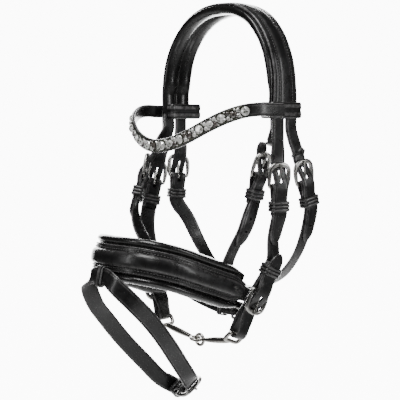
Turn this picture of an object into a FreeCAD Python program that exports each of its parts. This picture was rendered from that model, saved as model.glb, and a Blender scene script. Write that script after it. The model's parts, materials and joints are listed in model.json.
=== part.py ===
"""Snaffle bridle hanging by its crown: headpiece with billets, browband, cheekpieces,
padded noseband with flash, throatlatch and a slim single-jointed bit.
Frame: origin at the underside of the crown's apex, +Z up, +X the horse's near (left) side, -Y the nose."""
import FreeCAD, Part
import math, os
os.makedirs("parts", exist_ok=True)
V = FreeCAD.Vector

# ------------------------------------------------------------------ driving dimensions, mm
STRAP_W = 17.0        # cheek, throat and hanger straps
STRAP_T = 2.4
FLASH_W = 18.0
WIRE_R = 1.8          # buckle frame wire and bar
TONGUE_R = 1.3
GAP = 0.3             # air between separate pieces
FRAME_IN = 19.4       # inside width of a strap buckle
FRAME_L = 24.0        # bar to the centre of the rounded end
TIP_N = 2.6           # the rounded end stands this far out of the strap
CROWN_W = 40.0        # crown padding
CROWN_T = 10.0
CSTRAP_W = 31.0
CSTRAP_T = 2.8
PIV_Z = -121.0        # straps start to swing here, just under the browband loops
BROW_W = 14.5
BROW_T = 3.2
NOSE_PAD_W = 47.0
NOSE_PAD_T = 9.0
NOSE_W = 28.0
NOSE_T = 3.2
EYE_WIRE = 1.9        # bit eyes
CANNON_R = 3.0
LOOP_W = 13.5         # the cheekpiece narrows to this round the bit's eye
FAR_Y = -7.0          # the far leg of the crown hangs this far forward
DZ = 3.5              # everything is set down by this, so the crown's underside is at z = 0

# ------------------------------------------------------------------ vectors
def add(a, b): return (a[0]+b[0], a[1]+b[1], a[2]+b[2])
def sub(a, b): return (a[0]-b[0], a[1]-b[1], a[2]-b[2])
def mul(a, k): return (a[0]*k, a[1]*k, a[2]*k)
def dot(a, b): return a[0]*b[0]+a[1]*b[1]+a[2]*b[2]
def cross(a, b): return (a[1]*b[2]-a[2]*b[1], a[2]*b[0]-a[0]*b[2], a[0]*b[1]-a[1]*b[0])
def norm(a): return math.sqrt(dot(a, a))
def unit(a):
    l = norm(a)
    return (a[0]/l, a[1]/l, a[2]/l)
def mix(a, b, k): return (a[0]+(b[0]-a[0])*k, a[1]+(b[1]-a[1])*k, a[2]+(b[2]-a[2])*k)

class Frame:
    """Axes of a buckle: o = bar centre, v towards the tongue's tip, n outward, u across the strap."""
    def __init__(s, o, v, n):
        s.o = o
        s.v = unit(v)
        s.u = unit(cross(s.v, n))
        s.n = cross(s.u, s.v)
    def p(s, v, n, u=0.0):
        return add(s.o, add(mul(s.v, v), add(mul(s.n, n), mul(s.u, u))))

def spline(st, step=4.0):
    """Centripetal Catmull-Rom through stations (point, width direction) -> [(point, width, tangent, normal)]."""
    P = [s[0] for s in st]
    W = [unit(s[1]) for s in st]
    n = len(P)
    Q = [sub(mul(P[0], 2), P[1])]+P+[sub(mul(P[-1], 2), P[-2])]
    out = []
    for i in range(1, n):
        p0, p1, p2, p3 = Q[i-1], Q[i], Q[i+1], Q[i+2]
        t0 = 0.0
        t1 = t0+max(norm(sub(p1, p0)), 1e-6)**0.5
        t2 = t1+max(norm(sub(p2, p1)), 1e-6)**0.5
        t3 = t2+max(norm(sub(p3, p2)), 1e-6)**0.5
        k = max(1, int(round(norm(sub(p2, p1))/step)))
        for j in range(k+(1 if i == n-1 else 0)):
            t = t1+(t2-t1)*j/k
            A1 = mix(p0, p1, (t-t0)/(t1-t0))
            A2 = mix(p1, p2, (t-t1)/(t2-t1))
            A3 = mix(p2, p3, (t-t2)/(t3-t2))
            B1 = mix(A1, A2, (t-t0)/(t2-t0))
            B2 = mix(A2, A3, (t-t1)/(t3-t1))
            f = j/k
            out.append((mix(B1, B2, (t-t1)/(t2-t1)), unit(mix(W[i-1], W[i], f*f*(3-2*f)))))
    return orient(out)

def orient(out):
    m = len(out)
    res = []
    for i, e in enumerate(out):
        p, w = e[0], e[1]
        t = unit(sub(out[min(m-1, i+1)][0], out[max(0, i-1)][0]))
        w = unit(sub(w, mul(t, dot(w, t))))
        res.append((p, w, t, cross(w, t)))
    return res

def shift(path, d):
    return orient([(add(e[0], mul(e[3], d)), e[1]) for e in path])

def length(path):
    return sum(norm(sub(path[i+1][0], path[i][0])) for i in range(len(path)-1))

# ------------------------------------------------------------------ routes of the straps
def fold(F, back, hold=1.25, r=3.3, side=1):
    """Leather turned round a bar: from the inner end at -back, over the bar, to the outer layer."""
    u = F.u
    st = [(F.p(-back, -hold*side), u), (F.p(-14, -1.35*side), u), (F.p(-9, -2.15*side), u), (F.p(-4.5, -2.95*side), u)]
    for a in range(-90, 91, 22):
        st.append((F.p(r*math.cos(math.radians(a)), r*math.sin(math.radians(a))*side), u))
    st += [(F.p(-4.5, 2.95*side), u), (F.p(-9, 2.15*side), u), (F.p(-14, 1.35*side), u)]
    return st

def over(F, n0=3.95):
    """A billet coming from the tongue's tip side, under the rounded end, over the fold and down to the keeper."""
    u = F.u
    return [(F.p(34, -2.1), u), (F.p(25, TIP_N-WIRE_R-GAP-STRAP_T/2-1.2), u), (F.p(18, 0.4), u), (F.p(11, 3.15), u),
            (F.p(5, 5.6), u), (F.p(0, 6.2), u), (F.p(-5, 5.75), u), (F.p(-10, 4.6), u), (F.p(-14, n0+0.15), u), (F.p(-20, n0), u), (F.p(-26, n0), u)]

YW = (0, 1, 0)
def wdir(deg):
    """Horizontal width direction of a strap whose outward face looks deg degrees round from +X (or -X) towards -Y."""
    a = math.radians(deg)
    return (math.sin(a), math.cos(a), 0.0)

NEAR = dict(
    cheek_top=Frame((87.5, -7.2, -183.5), (0.03, -0.02, 1), (0.975, -0.22, 0)),
    cheek_bit=Frame((71.0, -16.5, -295.0), (-0.25, -0.33, -0.9), (0.97, -0.10, -0.2)),
    hanger=Frame((66.6, -17.4, -171.5), (0.21, 0.10, 1), (0.94, 0.14, -0.2)),
    throat=Frame((87.5, 32.5, -180.5), (-0.02, -0.25, 1), (0.99, -0.06, 0)))
FAR = dict(
    cheek_top=Frame((-87.5, -38.0, -184.0), (0.0, 0.24, 1), (-0.93, 0.36, 0)),
    cheek_bit=Frame((-77.5, -45.8, -293.0), (0.2, 0.06, -1), (-0.96, 0.24, -0.1)),
    hanger=Frame((-76.5, -59.6, -176.0), (-0.06, 0.42, 1), (-0.74, -0.67, 0)),
    throat=Frame((-86.0, -3.5, -178.0), (-0.02, 0.10, 1), (-0.95, 0.3, 0)))

def crown_curve(off=0.0, step=4.5):
    """Arch of the padding's outer face, shifted outward by off."""
    pts = [(87, -107), (88, -92), (88.2, -76), (86.6, -57.5), (81.5, -37.5), (70.5, -16.5), (53, 2.0), (28.5, 14.0), (0, 17.5)]
    pts = pts+[(-x, z) for x, z in pts[-2::-1]]
    path = spline([((x, FAR_Y*max(0.0, -x/88.0)**1.5, z-4.0), YW) for x, z in pts], step)
    if dot(path[len(path)//2][3], (0, 0, 1)) < 0:
        path = [(p, mul(w, -1), t, mul(n, -1)) for p, w, t, n in path]
    return [(add(e[0], mul(e[3], off)), e[1], e[2], e[3]) for e in path]

BROW = [(96.5, -9, -102.0), (96.2, -24, -102.0), (94.6, -41, -101.5), (88.5, -58, -103.6), (77.5, -73, -109.5), (62, -86, -119), (43, -95, -129.5),
        (22, -100, -137.0), (0, -101.5, -140)]
BROW = BROW+[(-x, y, z) for x, y, z in BROW[-2:2:-1]]+[(-94.6, -42.5, -101.5), (-96.2, -28, -102.0), (-96.5, -9+FAR_Y, -102.0)]
def brow_path():
    path = spline([(p, (0, 0, 1)) for p in BROW], 4.0)
    if dot(path[len(path)//2][3], (0, -1, 0)) < 0:
        path = [(p, mul(w, -1), t, mul(n, -1)) for p, w, t, n in path]
    return path

NOSE = [(58, -30, -296), (61, -56, -287), (62, -88, -276), (60, -116, -266), (53, -138, -259.5), (39.5, -153.5, -255.5), (20, -162, -254), (0, -164, -254),
        (-20, -162, -254), (-39.5, -153.5, -255.5), (-53, -138, -259.5), (-60, -116, -266), (-62, -88, -276), (-61, -60, -286), (-58, -38, -293)]
def nose_path():
    path = spline([(p, (0, 0.22, 1)) for p in NOSE], 5.0)
    if dot(path[len(path)//2][3], (0, -1, 0)) < 0:
        path = [(p, mul(w, -1), t, mul(n, -1)) for p, w, t, n in path]
    return path

CHIN_F = Frame((-11.0, 17.5, -327.5), (1, 0.03, 0.0), (0, 0.98, -0.2))
THROAT_MID = [((83.5, 37.0, -236), (-0.1, 1, 0.1)), ((73, 34.5, -261), (-0.1, 1, 0.1)), ((55, 29.5, -284), (0, 1, 0)), ((32, 26, -297), (0, 1, 0)), ((8, 24, -302), (0, 1, 0)),
              ((-18, 22, -300), (0, 1, 0)), ((-41, 20, -289), (0, 1, 0)), ((-58, 18, -272), (0.1, 1, 0)), ((-70, 13.5, -252), (0.2, 0.97, 0)), ((-79.5, 7, -229), (0.3, 0.95, 0))]
HANG_N = [((48.0, -50, -288), (0.0, 0.95, 0.3)), ((47.8, -46.5, -274), (0.0, 0.95, 0.3)), ((49.5, -43.5, -262), (0.0, 0.95, 0.3)), ((55, -39, -246), (0.04, 0.96, 0.26)), ((62.5, -32, -225), (0.06, 0.96, 0.26))]
HANG_F = [((-48.4, -78, -290), (0.0, 0.98, 0.2)), ((-48.4, -78, -272), (0.0, 0.98, 0.2)), ((-48.7, -78.2, -256), (-0.05, 0.98, 0.15)), ((-54, -78.6, -244.5), (-0.15, 0.97, 0.1)),
          ((-65, -77.5, -233), (-0.28, 0.94, 0.1)), ((-76.5, -73.5, -215), (-0.5, 0.85, 0.2))]

BILLET_N = dict(cheek=(88.7, -9.5), throat=(88.7, 9.5), hanger=(82.0, -6.0))
BILLET_F = dict(cheek=(88.7, -16.6), throat=(88.7, 2.4), hanger=(82.0, -21.0))
TAIL = dict(n_cheek=34, n_throat=38, n_hanger=52, f_cheek=34, f_throat=24, f_hanger=26)

def same(u, ref):
    return u if dot(u, ref) > 0 else mul(u, -1)

def main_route(S, s, kind):
    """Strap below a top buckle, starting at its bar: list of stations after the fold."""
    F = S[kind]
    st = [(F.p(-14, 1.35), F.u), (F.p(-20, 1.25), F.u), (F.p(-27, 1.25), F.u)]
    if kind == 'cheek_top':
        if s > 0:
            st += [((80.3, -7.6, -236), same(wdir(-4), F.u))]
        else:
            st += [((-83.0, -51.4, -232), same((0.3, 0.95, 0), F.u))]
    elif kind == 'hanger':
        st += [(p, same(w, F.u)) for p, w in (HANG_N if s > 0 else HANG_F)[::-1]]
    elif kind == 'throat':
        m = THROAT_MID if s > 0 else THROAT_MID[::-1]
        st += [(p, same(w, F.u)) for p, w in m]
    return st

def billet_path(S, s, kind, tail):
    F = S[kind]
    key = 'cheek' if kind == 'cheek_top' else kind
    x, y = (BILLET_N if s > 0 else BILLET_F)[key]
    w0 = same((0, 1, 0), F.u)
    z = PIV_Z+STRAP_W/2
    st = [((s*x, y, z), w0), ((s*x, y, PIV_Z), w0)]
    if key == 'hanger':
        if s > 0:
            st += [((80.6, -7.4, -129), w0), ((77.4, -10.2, -137.5), w0)]
        else:
            st += [((-81.4, -26.5, -129), (0.12, -0.93, 0.34)), ((-79.6, -35.5, -137), (0.3, -0.8, 0.5))]
    elif key == 'throat':
        if s > 0:
            st += [((88.6, 12.6, -130.5), w0), ((88.3, 17.2, -140), w0), ((88.0, 21.6, -148.5), w0)]
        else:
            st += [((-88.6, 1.5, -133), w0)]
    else:
        st += [((s*x, y, -136), w0)] if s > 0 else [((-88.7, -20.6, -135), w0)]
    st = [(p, same(w, F.u)) for p, w in st]
    ov = over(F)
    st += ov[(1 if (s < 0 and key == 'hanger') else 0):-2]
    route = main_route(S, s, kind)
    if kind == 'cheek_top':
        B = S['cheek_bit']
        route += [(B.p(-36, -4.1), same(B.u, F.u)), (B.p(-28, -4.1), same(B.u, F.u))]
    low = spline(route, 4.0)
    if dot(low[2][3], F.n) < 0:
        sg = -1
    else:
        sg = 1
    off = [(add(e[0], mul(e[3], sg*(STRAP_T+GAP+0.25+min(0.5, 0.06*max(0, i-2))))), e[1]) for i, e in enumerate(low)]
    acc = 0.0
    for i in range(1, len(off)):
        acc += norm(sub(off[i][0], off[i-1][0]))
        if acc > 5.5:
            st.append((off[i][0], off[i][1]))
        if acc > 12+tail:
            break
    return spline(st, 4.0)

def strap_path(S, s, kind):
    """Whole strap hanging from a top buckle: turned end, bar, run."""
    F = S[kind]
    return spline(fold(F, 30 if kind != 'throat' else 26)[:-1]+main_route(S, s, kind), 4.0)

def cheek_path(S, s):
    F, B = S['cheek_top'], S['cheek_bit']
    bu = same(B.u, F.u)
    vc = 50.0 if s > 0 else 42.0
    st = fold(F, 30)[:-1]+main_route(S, s, 'cheek_top')
    st += [(B.p(-36, -4.1), bu), (B.p(-28, -4.1), bu), (B.p(-14, -4.25), bu), (B.p(-6, -5.6), bu), (B.p(4, -6.6), bu), (B.p(18, -7.6), bu), (B.p(vc-12, -11.4), bu), (B.p(vc-5, -12.3), bu)]
    for g in range(0, 181, 20):
        st.append((B.p(vc+7.2*math.sin(math.radians(g)), -5.2-7.2*math.cos(math.radians(g))), bu))
    st += [(B.p(vc-6, 1.4), bu), (B.p(33, -1.3), bu)]
    st += [(p, bu) for p, w in over(B)[1:]]
    st += [(B.p(-34, 3.95), bu), (B.p(-45, 3.95), bu)]
    return spline(st, 4.0)

def throat_path():
    F, G = NEAR['throat'], FAR['throat']
    a = fold(F, 26)[:-1]+main_route(NEAR, 1, 'throat')
    b = fold(G, 26)[:-1]+[(G.p(-14, 1.35), G.u), (G.p(-20, 1.25), G.u), (G.p(-27, 1.25), G.u)]
    last = a[-1][1]
    b = [(p, same(w, last)) for p, w in b[::-1]]
    return spline(a+b, 4.0)

FL = Frame((-4.0, -61.5, -404.5), (0.88, -0.25, 0.22), (0.326, 0.526, -0.707))
LOOK = (0.762, -0.639, 0.07)
NW, NN = (0, 0.2149, 0.9766), (0, -0.9766, 0.2149)     # noseband front: width and outward directions
CARRIER_N = 6.6
CF = Frame(add((0.0, -164.0, -254.0), add(mul(NW, -20.4), mul(NN, CARRIER_N))), (1, 0, 0), NN)
def flash_path():
    near = [(24.0, -174.6, -279.5), (38.0, -162.0, -297.2), (38.0, -139.4, -318.8), (37.0, -119.1, -342.3), (31.5, -97.5, -367.3), (27.5, -81.0, -387.0)]
    far = [(-19.5, -176.4, -280.5), (-27.0, -164.0, -304.5), (-33.0, -143.7, -326.1), (-35.5, -121.0, -350.5), (-34.0, -94.0, -378.0), (-29.5, -72.0, -400.5)]
    cu = same(CF.u, (0, 0, 1))
    def face(pts):
        out = []
        for i, p in enumerate(pts):
            t = unit(sub(pts[min(i+1, len(pts)-1)], pts[max(0, i-1)]))
            w = unit(cross(LOOK, t))
            if w[2] < 0:
                w = mul(w, -1)
            if i == 0:
                w = unit(add(w, (0, 0, 1.2)))
            out.append((p, w))
        return out
    u = same(FL.u, (0.07, 0.78, 0.62))
    st = [(p, same(w, u)) for p, w in fold(FL, 19, 1.3)[:-1]]+[(FL.p(-14, 1.35), u), (FL.p(-19.5, 1.0), u)]
    st += face(far)[::-1]
    st += [(CF.p(-10.0, 0.0), cu), (CF.p(-7, 0), cu), (CF.p(-3.5, 0), cu), (CF.p(0, 0), cu), (CF.p(3.5, 0), cu), (CF.p(7, 0), cu), (CF.p(9.5, 0), cu)]
    st += face(near)
    ov = over(FL)
    st += [(p, u) for p, w in ov[1:-2]]
    base = spline([(FL.p(-14, 1.35), u), (FL.p(-19.5, 1.0), u)]+face(far)[::-1][:4], 4.0)
    sg = 1 if dot(base[0][3], FL.n) > 0 else -1
    acc = 0.0
    for i in range(1, len(base)):
        acc += norm(sub(base[i][0], base[i-1][0]))
        if 3 < acc < 34:
            st.append((add(base[i][0], mul(base[i][3], sg*(STRAP_T+GAP+min(0.6, 0.03*acc)))), base[i][1]))
    return spline(st, 4.0)

def chin_main():
    F = CHIN_F
    u = same(F.u, (0, 0, 1))
    return [(F.p(-14, 1.35), u), (F.p(-20, 1.2), u), (F.p(-25, 0.9), u), ((-44.0, 4.5, -320.5), (0, 0.2, 1)), ((-50.5, -9, -312), (0.1, 0.2, 1)),
            ((-54.2, -25, -301), (0.1, 0.3, 1)), ((-54.8, -32.5, -296.5), (0.1, 0.3, 1))]

def chin_far_path():
    F = CHIN_F
    u = same(F.u, (0, 0, 1))
    return spline([(p, same(w, u)) for p, w in fold(F, 24)[:-1]]+chin_main(), 4.0)

def chin_near_path():
    F = CHIN_F
    u = same(F.u, (0, 0, 1))
    st = [((54.6, -25.5, -299), (-0.1, 0.3, 1)), ((52.4, -17, -303), (-0.1, 0.2, 1)), ((45.5, -2, -311), (0, 0.2, 1)), ((34, 9.5, -319), (0, 0.2, 1))]
    st += [(p, u) for p, w in over(F)[1:-2]]
    base = spline(chin_main(), 4.0)
    sg = 1 if dot(base[0][3], F.n) > 0 else -1
    acc = 0.0
    for i in range(1, len(base)):
        acc += norm(sub(base[i][0], base[i-1][0]))
        if 5 < acc < 30:
            st.append((add(base[i][0], mul(base[i][3], sg*(STRAP_T+GAP+min(0.5, 0.03*acc)))), base[i][1]))
    return spline(st, 4.0)

# bit: eyes hang in the leather loops of the cheekpieces
def bit_side(S, s):
    B = S['cheek_bit']
    vc = 50.0 if s > 0 else 42.0
    P = B.p(vc+3.4, -5.2)
    u = same(B.u, (0, 1, 0))
    d = unit((-0.66, -0.20, -0.72)) if s > 0 else unit((0.55, 0.05, -0.83))
    d = unit(sub(d, mul(u, dot(d, u))))
    return P, u, d

# ------------------------------------------------------------------ solids
def solid_from_sections(secs):
    """Closed flat-faced solid through rings of points, all with the same count."""
    n = len(secs[0])
    pts = [p for s in secs for p in s]
    f = []
    for i in range(len(secs)-1):
        for j in range(n):
            a, b = i*n+j, i*n+(j+1) % n
            c, d = a+n, b+n
            if norm(sub(pts[a], pts[d])) <= norm(sub(pts[b], pts[c])):
                f += [(a, b, d), (a, d, c)]
            else:
                f += [(a, b, c), (b, d, c)]
    for base, flip in ((0, True), ((len(secs)-1)*n, False)):
        for j in range(1, n-1):
            t = (base, base+j, base+j+1)
            f.append(t[::-1] if flip else t)
    sh = Part.Shape()
    sh.makeShapeFromMesh(([V(*p) for p in pts], f), 0.001)
    so = Part.Solid(sh)
    if so.Volume < 0:
        so.reverse()
    return so

def resample(path, extra):
    arcs = [0.0]
    for i in range(1, len(path)):
        arcs.append(arcs[-1]+norm(sub(path[i][0], path[i-1][0])))
    L = arcs[-1]
    ex = [e if e >= 0 else L+e for e in extra]
    keep = [a for a in arcs if all(abs(a-e) > 1.0 or a in (0.0, L) for e in ex)]
    want = sorted(set(keep+[e for e in ex if 0.3 < e < L-0.3]))
    out = []
    i = 0
    for a in want:
        while i < len(arcs)-2 and arcs[i+1] < a:
            i += 1
        f = (a-arcs[i])/max(arcs[i+1]-arcs[i], 1e-9)
        out.append((a, mix(path[i][0], path[i+1][0], f), mix(path[i][1], path[i+1][1], f)))
    o = orient([(e[1], e[2]) for e in out])
    return [(out[k][0],)+tuple(o[k]) for k in range(len(o))], L

def strap(path, w=STRAP_W, t=STRAP_T, round_a=0, point_b=0, wfun=None):
    ex = []
    if round_a:
        ex += [0.5, 1.4, 2.8, 5.0, 8.4]
    if point_b:
        ex += [-0.6, -1.8, -4.0, -7.5, -12.0, -16.0]
    pts, L = resample(path, ex)
    secs = []
    for s, p, wd, tg, n in pts:
        hw = w/2
        if wfun:
            hw *= wfun(s, L)
        if round_a and s < round_a:
            hw = min(hw, max(2.4, math.sqrt(max(0.0, round_a**2-(round_a-s)**2))))
        if point_b and L-s < point_b:
            x = (L-s)/point_b
            hw = max(1.6, hw*math.sqrt(1-(1-x)**2.0))
        a, b = mul(wd, hw), mul(n, t/2)
        secs.append([add(add(p, a), b), add(sub(p, a), b), sub(sub(p, a), b), sub(add(p, a), b)])
    return solid_from_sections(secs)

def sweep(path, prof):
    secs = []
    L = length(path)
    s = 0.0
    for i, (p, w, t, n) in enumerate(path):
        if i:
            s += norm(sub(p, path[i-1][0]))
        secs.append([add(p, add(mul(w, a), mul(n, b))) for a, b in prof(s, L)])
    return solid_from_sections(secs)

def box(F, u0, u1, v0, v1, n0, n1):
    """Box in a buckle's axes."""
    ps = [F.p(v0, n0, u0), F.p(v0, n0, u1), F.p(v0, n1, u1), F.p(v0, n1, u0)]
    face = Part.Face(Part.makePolygon([V(*p) for p in ps+ps[:1]]))
    return face.extrude(V(*mul(F.v, v1-v0)))

def ring(F, v0, v1, n0, n1, hw, wall=1.7, c=1.1):
    """Rectangular leather loop round a strap: open inside n0..n1, +-hw; chamfered corners outside."""
    def loop(k, ch, e0=0.0, e1=0.0):
        a, b0, b1 = hw+k, n0-k, n1+k
        q = [(-a+ch, b0), (a-ch, b0), (a, b0+ch), (a, b1-ch), (a-ch, b1), (-a+ch, b1), (-a, b1-ch), (-a, b0+ch)]
        ps = [F.p(v0-e0, n, u) for u, n in q]
        return Part.Face(Part.makePolygon([V(*p) for p in ps+ps[:1]])).extrude(V(*mul(F.v, v1-v0+e0+e1)))
    return loop(wall, c+0.5).cut(loop(0, 0.35, 1, 1))

def buckle_frame(F, hw=None, L=FRAME_L, tip=TIP_N, r=WIRE_R, c0=2.6, c1=8.0):
    """D-shaped frame of round wire; the bar is its straight side."""
    hw = (FRAME_IN/2+r) if hw is None else hw
    k = math.hypot(L, tip)
    def q(u, s):
        return V(*F.p(s*L/k, s*tip/k, u))
    def corner(cx, cy, rad, a0, a1):
        am = (a0+a1)/2
        pt = [q(cx+rad*math.cos(math.radians(a)), cy+rad*math.sin(math.radians(a))) for a in (a0, am, a1)]
        return Part.Arc(*pt).toShape()
    def line(a, b):
        return Part.LineSegment(q(*a), q(*b)).toShape()
    e = [line((0, 0), (hw-c0, 0)), corner(hw-c0, c0, c0, -90, 0), line((hw, c0), (hw, k-c1)), corner(hw-c1, k-c1, c1, 0, 90),
         line((hw-c1, k), (-hw+c1, k)), corner(-hw+c1, k-c1, c1, 90, 180), line((-hw, k-c1), (-hw, c0)), corner(-hw+c0, c0, c0, 180, 270),
         line((-hw+c0, 0), (0, 0))]
    w = Part.Wire(e)
    circ = Part.Wire(Part.Circle(q(0, 0), V(*F.u), r).toShape())
    s = w.makePipeShell([circ], True, False)
    if s.Volume < 0:
        s.reverse()
    return s

def tongue(F, L=FRAME_L, tip=TIP_N):
    """Buckle tongue: an eye round the bar and a straight pin resting on the rounded end."""
    eye_r, bore, half = 3.3, WIRE_R+0.2, 1.7
    nt = tip+WIRE_R+TONGUE_R+0.42
    a = V(*F.p(0, 0, -half))
    eye = Part.makeCylinder(eye_r, 2*half, a, V(*F.u))
    d = unit((L, nt, 0))
    def q(x, off=0.0):
        return F.p(d[0]*x-d[1]*off, d[1]*x+d[0]*off)
    pin = Part.makeCylinder(TONGUE_R, math.hypot(L, nt)+1.0-1.2, V(*q(1.2)), V(*sub(q(10), q(0))))
    tipb = Part.makeSphere(TONGUE_R, V(*q(math.hypot(L, nt)+1.0)))
    return eye.fuse(pin).fuse(tipb).cut(Part.makeCylinder(bore, 4*half, V(*F.p(0, 0, -2*half)), V(*F.u))).removeSplitter()

def wedge(F, half=2.4, v0=-5.5, v1=7.0):
    """Room for the tongue's eye in the turned leather."""
    return box(F, -half, half, v0, v1, -6.5, 6.5)

def slot(F):
    """Long hole in a billet for the tongue."""
    return box(F, -2.0, 2.0, 5.0, 18.5, -2.5, 8.0)

NODES = {}
def put(name, shape):
    shape = shape.copy()
    shape.translate(V(0, 0, -DZ))
    NODES[name] = shape
    ok = shape.isValid()
    bb = shape.BoundBox
    print("%-30s valid=%s solids=%d vol=%.0f z %.1f..%.1f" % (name, ok, len(shape.Solids), shape.Volume, bb.ZMin, bb.ZMax), flush=True)

def hang_loop(F, v0, v1, n0, n1):
    return ring(F, v0, v1, n0-GAP, n1+GAP, STRAP_W/2+0.4)

# headpiece -----------------------------------------------------------
def crown_prof(s, L):
    e = min(s, L-s)
    f = min(1.0, max(0.0, (e-27.0)/16.0))
    T = 6.4+(CROWN_T-6.4)*f*f*(3-2*f)
    h = CROWN_W/2
    q = [(h*0.90, -0.02*T), (h*0.99, -0.3*T), (h*0.98, -0.62*T), (h*0.80, -0.92*T), (h*0.52, -T), (h*0.26, -0.9*T), (h*0.07, -0.58*T)]
    return q+[(-a, b) for a, b in q[::-1]]
cc = crown_curve(0.0, 6.0)
put("crown_padding", sweep(cc, crown_prof))
put("crown_strap", strap(crown_curve(GAP+CSTRAP_T/2, 5.0), CSTRAP_W, CSTRAP_T, wfun=lambda s, L: 1.0 if min(s, L-s) > 46 else 1.0+0.16*(1-min(s, L-s)/46.0)))

# browband ------------------------------------------------------------
bp = brow_path()
put("browband_strap", strap(bp, BROW_W, BROW_T, wfun=lambda s, L: 0.92))
for nm, s in (("near", 1), ("far", -1)):
    LF = Frame((s*84.0, 0.0 if s > 0 else FAR_Y, -102.0), (0, 0, 1), (s, 0, 0))
    put(nm+"_browband_loop", ring(LF, -8.6, 8.6, -8.2, 7.7, CROWN_W/2+0.6, wall=2.2))

def along(path, s0):
    pts, L = resample(path, [s0])
    return min(pts, key=lambda e: abs(e[0]-s0))
bl = length(bp)
half = bl/2
big, small, dark = [], [], []
kinds = "cdscsdcdcsdsc"
k = -12
while k <= 12:
    s0 = half+k*6.35
    c = kinds[(k+12) % len(kinds)]
    if 34 < s0 < bl-34:
        (big if c == 'c' else small if c == 's' else dark).append(s0)
    k += 1
def stone(s0, r, h):
    e = along(bp, s0)
    o = add(e[1], mul(e[4], BROW_T/2+0.25))
    a = Part.makeCylinder(r, h*0.45, V(*o), V(*e[4]))
    b = Part.makeCone(r, r*0.55, h*0.55, V(*add(o, mul(e[4], h*0.45))), V(*e[4]))
    return a.fuse(b).removeSplitter()
put("clear_crystals", Part.makeCompound([stone(s, 3.05, 2.6) for s in big]+[stone(s, 2.5, 2.0) for s in small]))
put("dark_crystals", Part.makeCompound([stone(s, 2.9, 2.2) for s in dark]))

# cheeks, hangers, throat ---------------------------------------------
for nm, s, S in (("near", 1, NEAR), ("far", -1, FAR)):
    p = nm[0]
    for kind, lab in (("cheek_top", "cheek"), ("hanger", "noseband"), ("throat", "throatlatch")):
        F = S[kind]
        key = {"cheek_top": "cheek", "hanger": "hanger", "throat": "throat"}[kind]
        bil = strap(billet_path(S, s, kind, TAIL[p+"_"+key]), STRAP_W-(0.6 if kind != "cheek_top" else 0), STRAP_T, round_a=8.5, point_b=15)
        put("%s_%s_billet" % (nm, lab), bil.cut(slot(F)))
        put("%s_%s_buckle" % (nm, lab), buckle_frame(F))
        put("%s_%s_tongue" % (nm, lab), tongue(F))
        put("%s_%s_keeper" % (nm, lab), hang_loop(F, -25.5, -14.5, -2.8, 5.8))
    F, B = S['cheek_top'], S['cheek_bit']
    cp = cheek_path(S, s)
    low_pt = B.p((50.0 if s > 0 else 42.0)+7.2, -5.2)
    arcs = [0.0]
    for i in range(1, len(cp)):
        arcs.append(arcs[-1]+norm(sub(cp[i][0], cp[i-1][0])))
    su = min(range(len(cp)), key=lambda i: norm(sub(cp[i][0], low_pt)))
    su = arcs[su]
    def narrow(a, L, su=su):
        x = abs(a-su)
        k = LOOP_W/STRAP_W
        return k if x < 15 else (1.0 if x > 27 else k+(1-k)*(x-15)/12.0)
    put("%s_cheekpiece" % nm, strap(cp, point_b=14, wfun=narrow).cut(wedge(F)).cut(slot(B)))
    put("%s_bit_chape" % nm, strap(spline(fold(B, 33)+[(B.p(-20, 1.25), B.u), (B.p(-33, 1.25), B.u)], 4.0)).cut(wedge(B)))
    put("%s_bit_buckle" % nm, buckle_frame(B))
    put("%s_bit_tongue" % nm, tongue(B))
    put("%s_bit_runner" % nm, hang_loop(B, -29.5, -18.5, -5.5, 5.25))
    put("%s_noseband_hanger" % nm, strap(strap_path(S, s, 'hanger')).cut(wedge(S['hanger'])))
put("throatlatch_strap", strap(throat_path()).cut(wedge(NEAR['throat'])).cut(wedge(FAR['throat'])))

# noseband -------------------------------------------------------------
def nose_prof(s, L):
    e = min(s, L-s)
    f = min(1.0, e/26.0)
    f = math.sin(f*math.pi/2)
    k = 0.35+0.65*f
    tk = 0.62+0.38*f
    out = []
    for a, b in [(14.9, -2.2), (15.9, 0.0), (18.4, 1.6), (21.4, 0.8), (23.4, -3.0), (22.4, -7.4), (18, -10.4), (11, -11.0), (4, -9.6)]:
        aa = 15.9+(a-15.9)*k if a > 15.9 else a
        out.append((aa, b if b > -2.3 else -2.2+(b+2.2)*tk))
    return out+[(-a, b) for a, b in out[::-1]]
npth = nose_path()
put("noseband_padding", sweep(npth[1:-1], nose_prof))
def nstrap_prof(s, L):
    e = min(s, L-s)
    f = min(1.0, e/24.0)
    k = 0.66+0.34*math.sin(f*math.pi/2)
    h = 2.0*f
    return [(14*k, -1.5), (14*k, 1.3), (9.9*k, 1.6), (8.3*k, 1.6+h), (-8.3*k, 1.6+h), (-9.9*k, 1.6), (-14*k, 1.3), (-14*k, -1.5)]
put("noseband_strap", sweep(npth, nstrap_prof))
put("far_chin_strap", strap(chin_far_path()).cut(wedge(CHIN_F)))
put("near_chin_strap", strap(chin_near_path(), STRAP_W-0.6, point_b=14).cut(slot(CHIN_F)))
put("chin_buckle", buckle_frame(CHIN_F))
put("chin_tongue", tongue(CHIN_F))
put("chin_keeper", ring(CHIN_F, -23.0, -15.0, -3.0, 6.1, STRAP_W/2+0.5))

# flash ------------------------------------------------------------------
fhw = FLASH_W/2+2.3+WIRE_R
put("flash_strap", strap(flash_path(), FLASH_W, point_b=15).cut(wedge(FL)).cut(slot(FL)))
put("flash_buckle", buckle_frame(FL, hw=fhw))
put("flash_tongue", tongue(FL))
put("flash_keeper", ring(FL, -18.0, -10.0, -3.7, 6.6, FLASH_W/2+0.8))
put("flash_carrier_loop", ring(CF, -5.5, 5.5, -1.9, 1.9, FLASH_W/2+0.8, wall=1.8, c=0.9))

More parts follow.
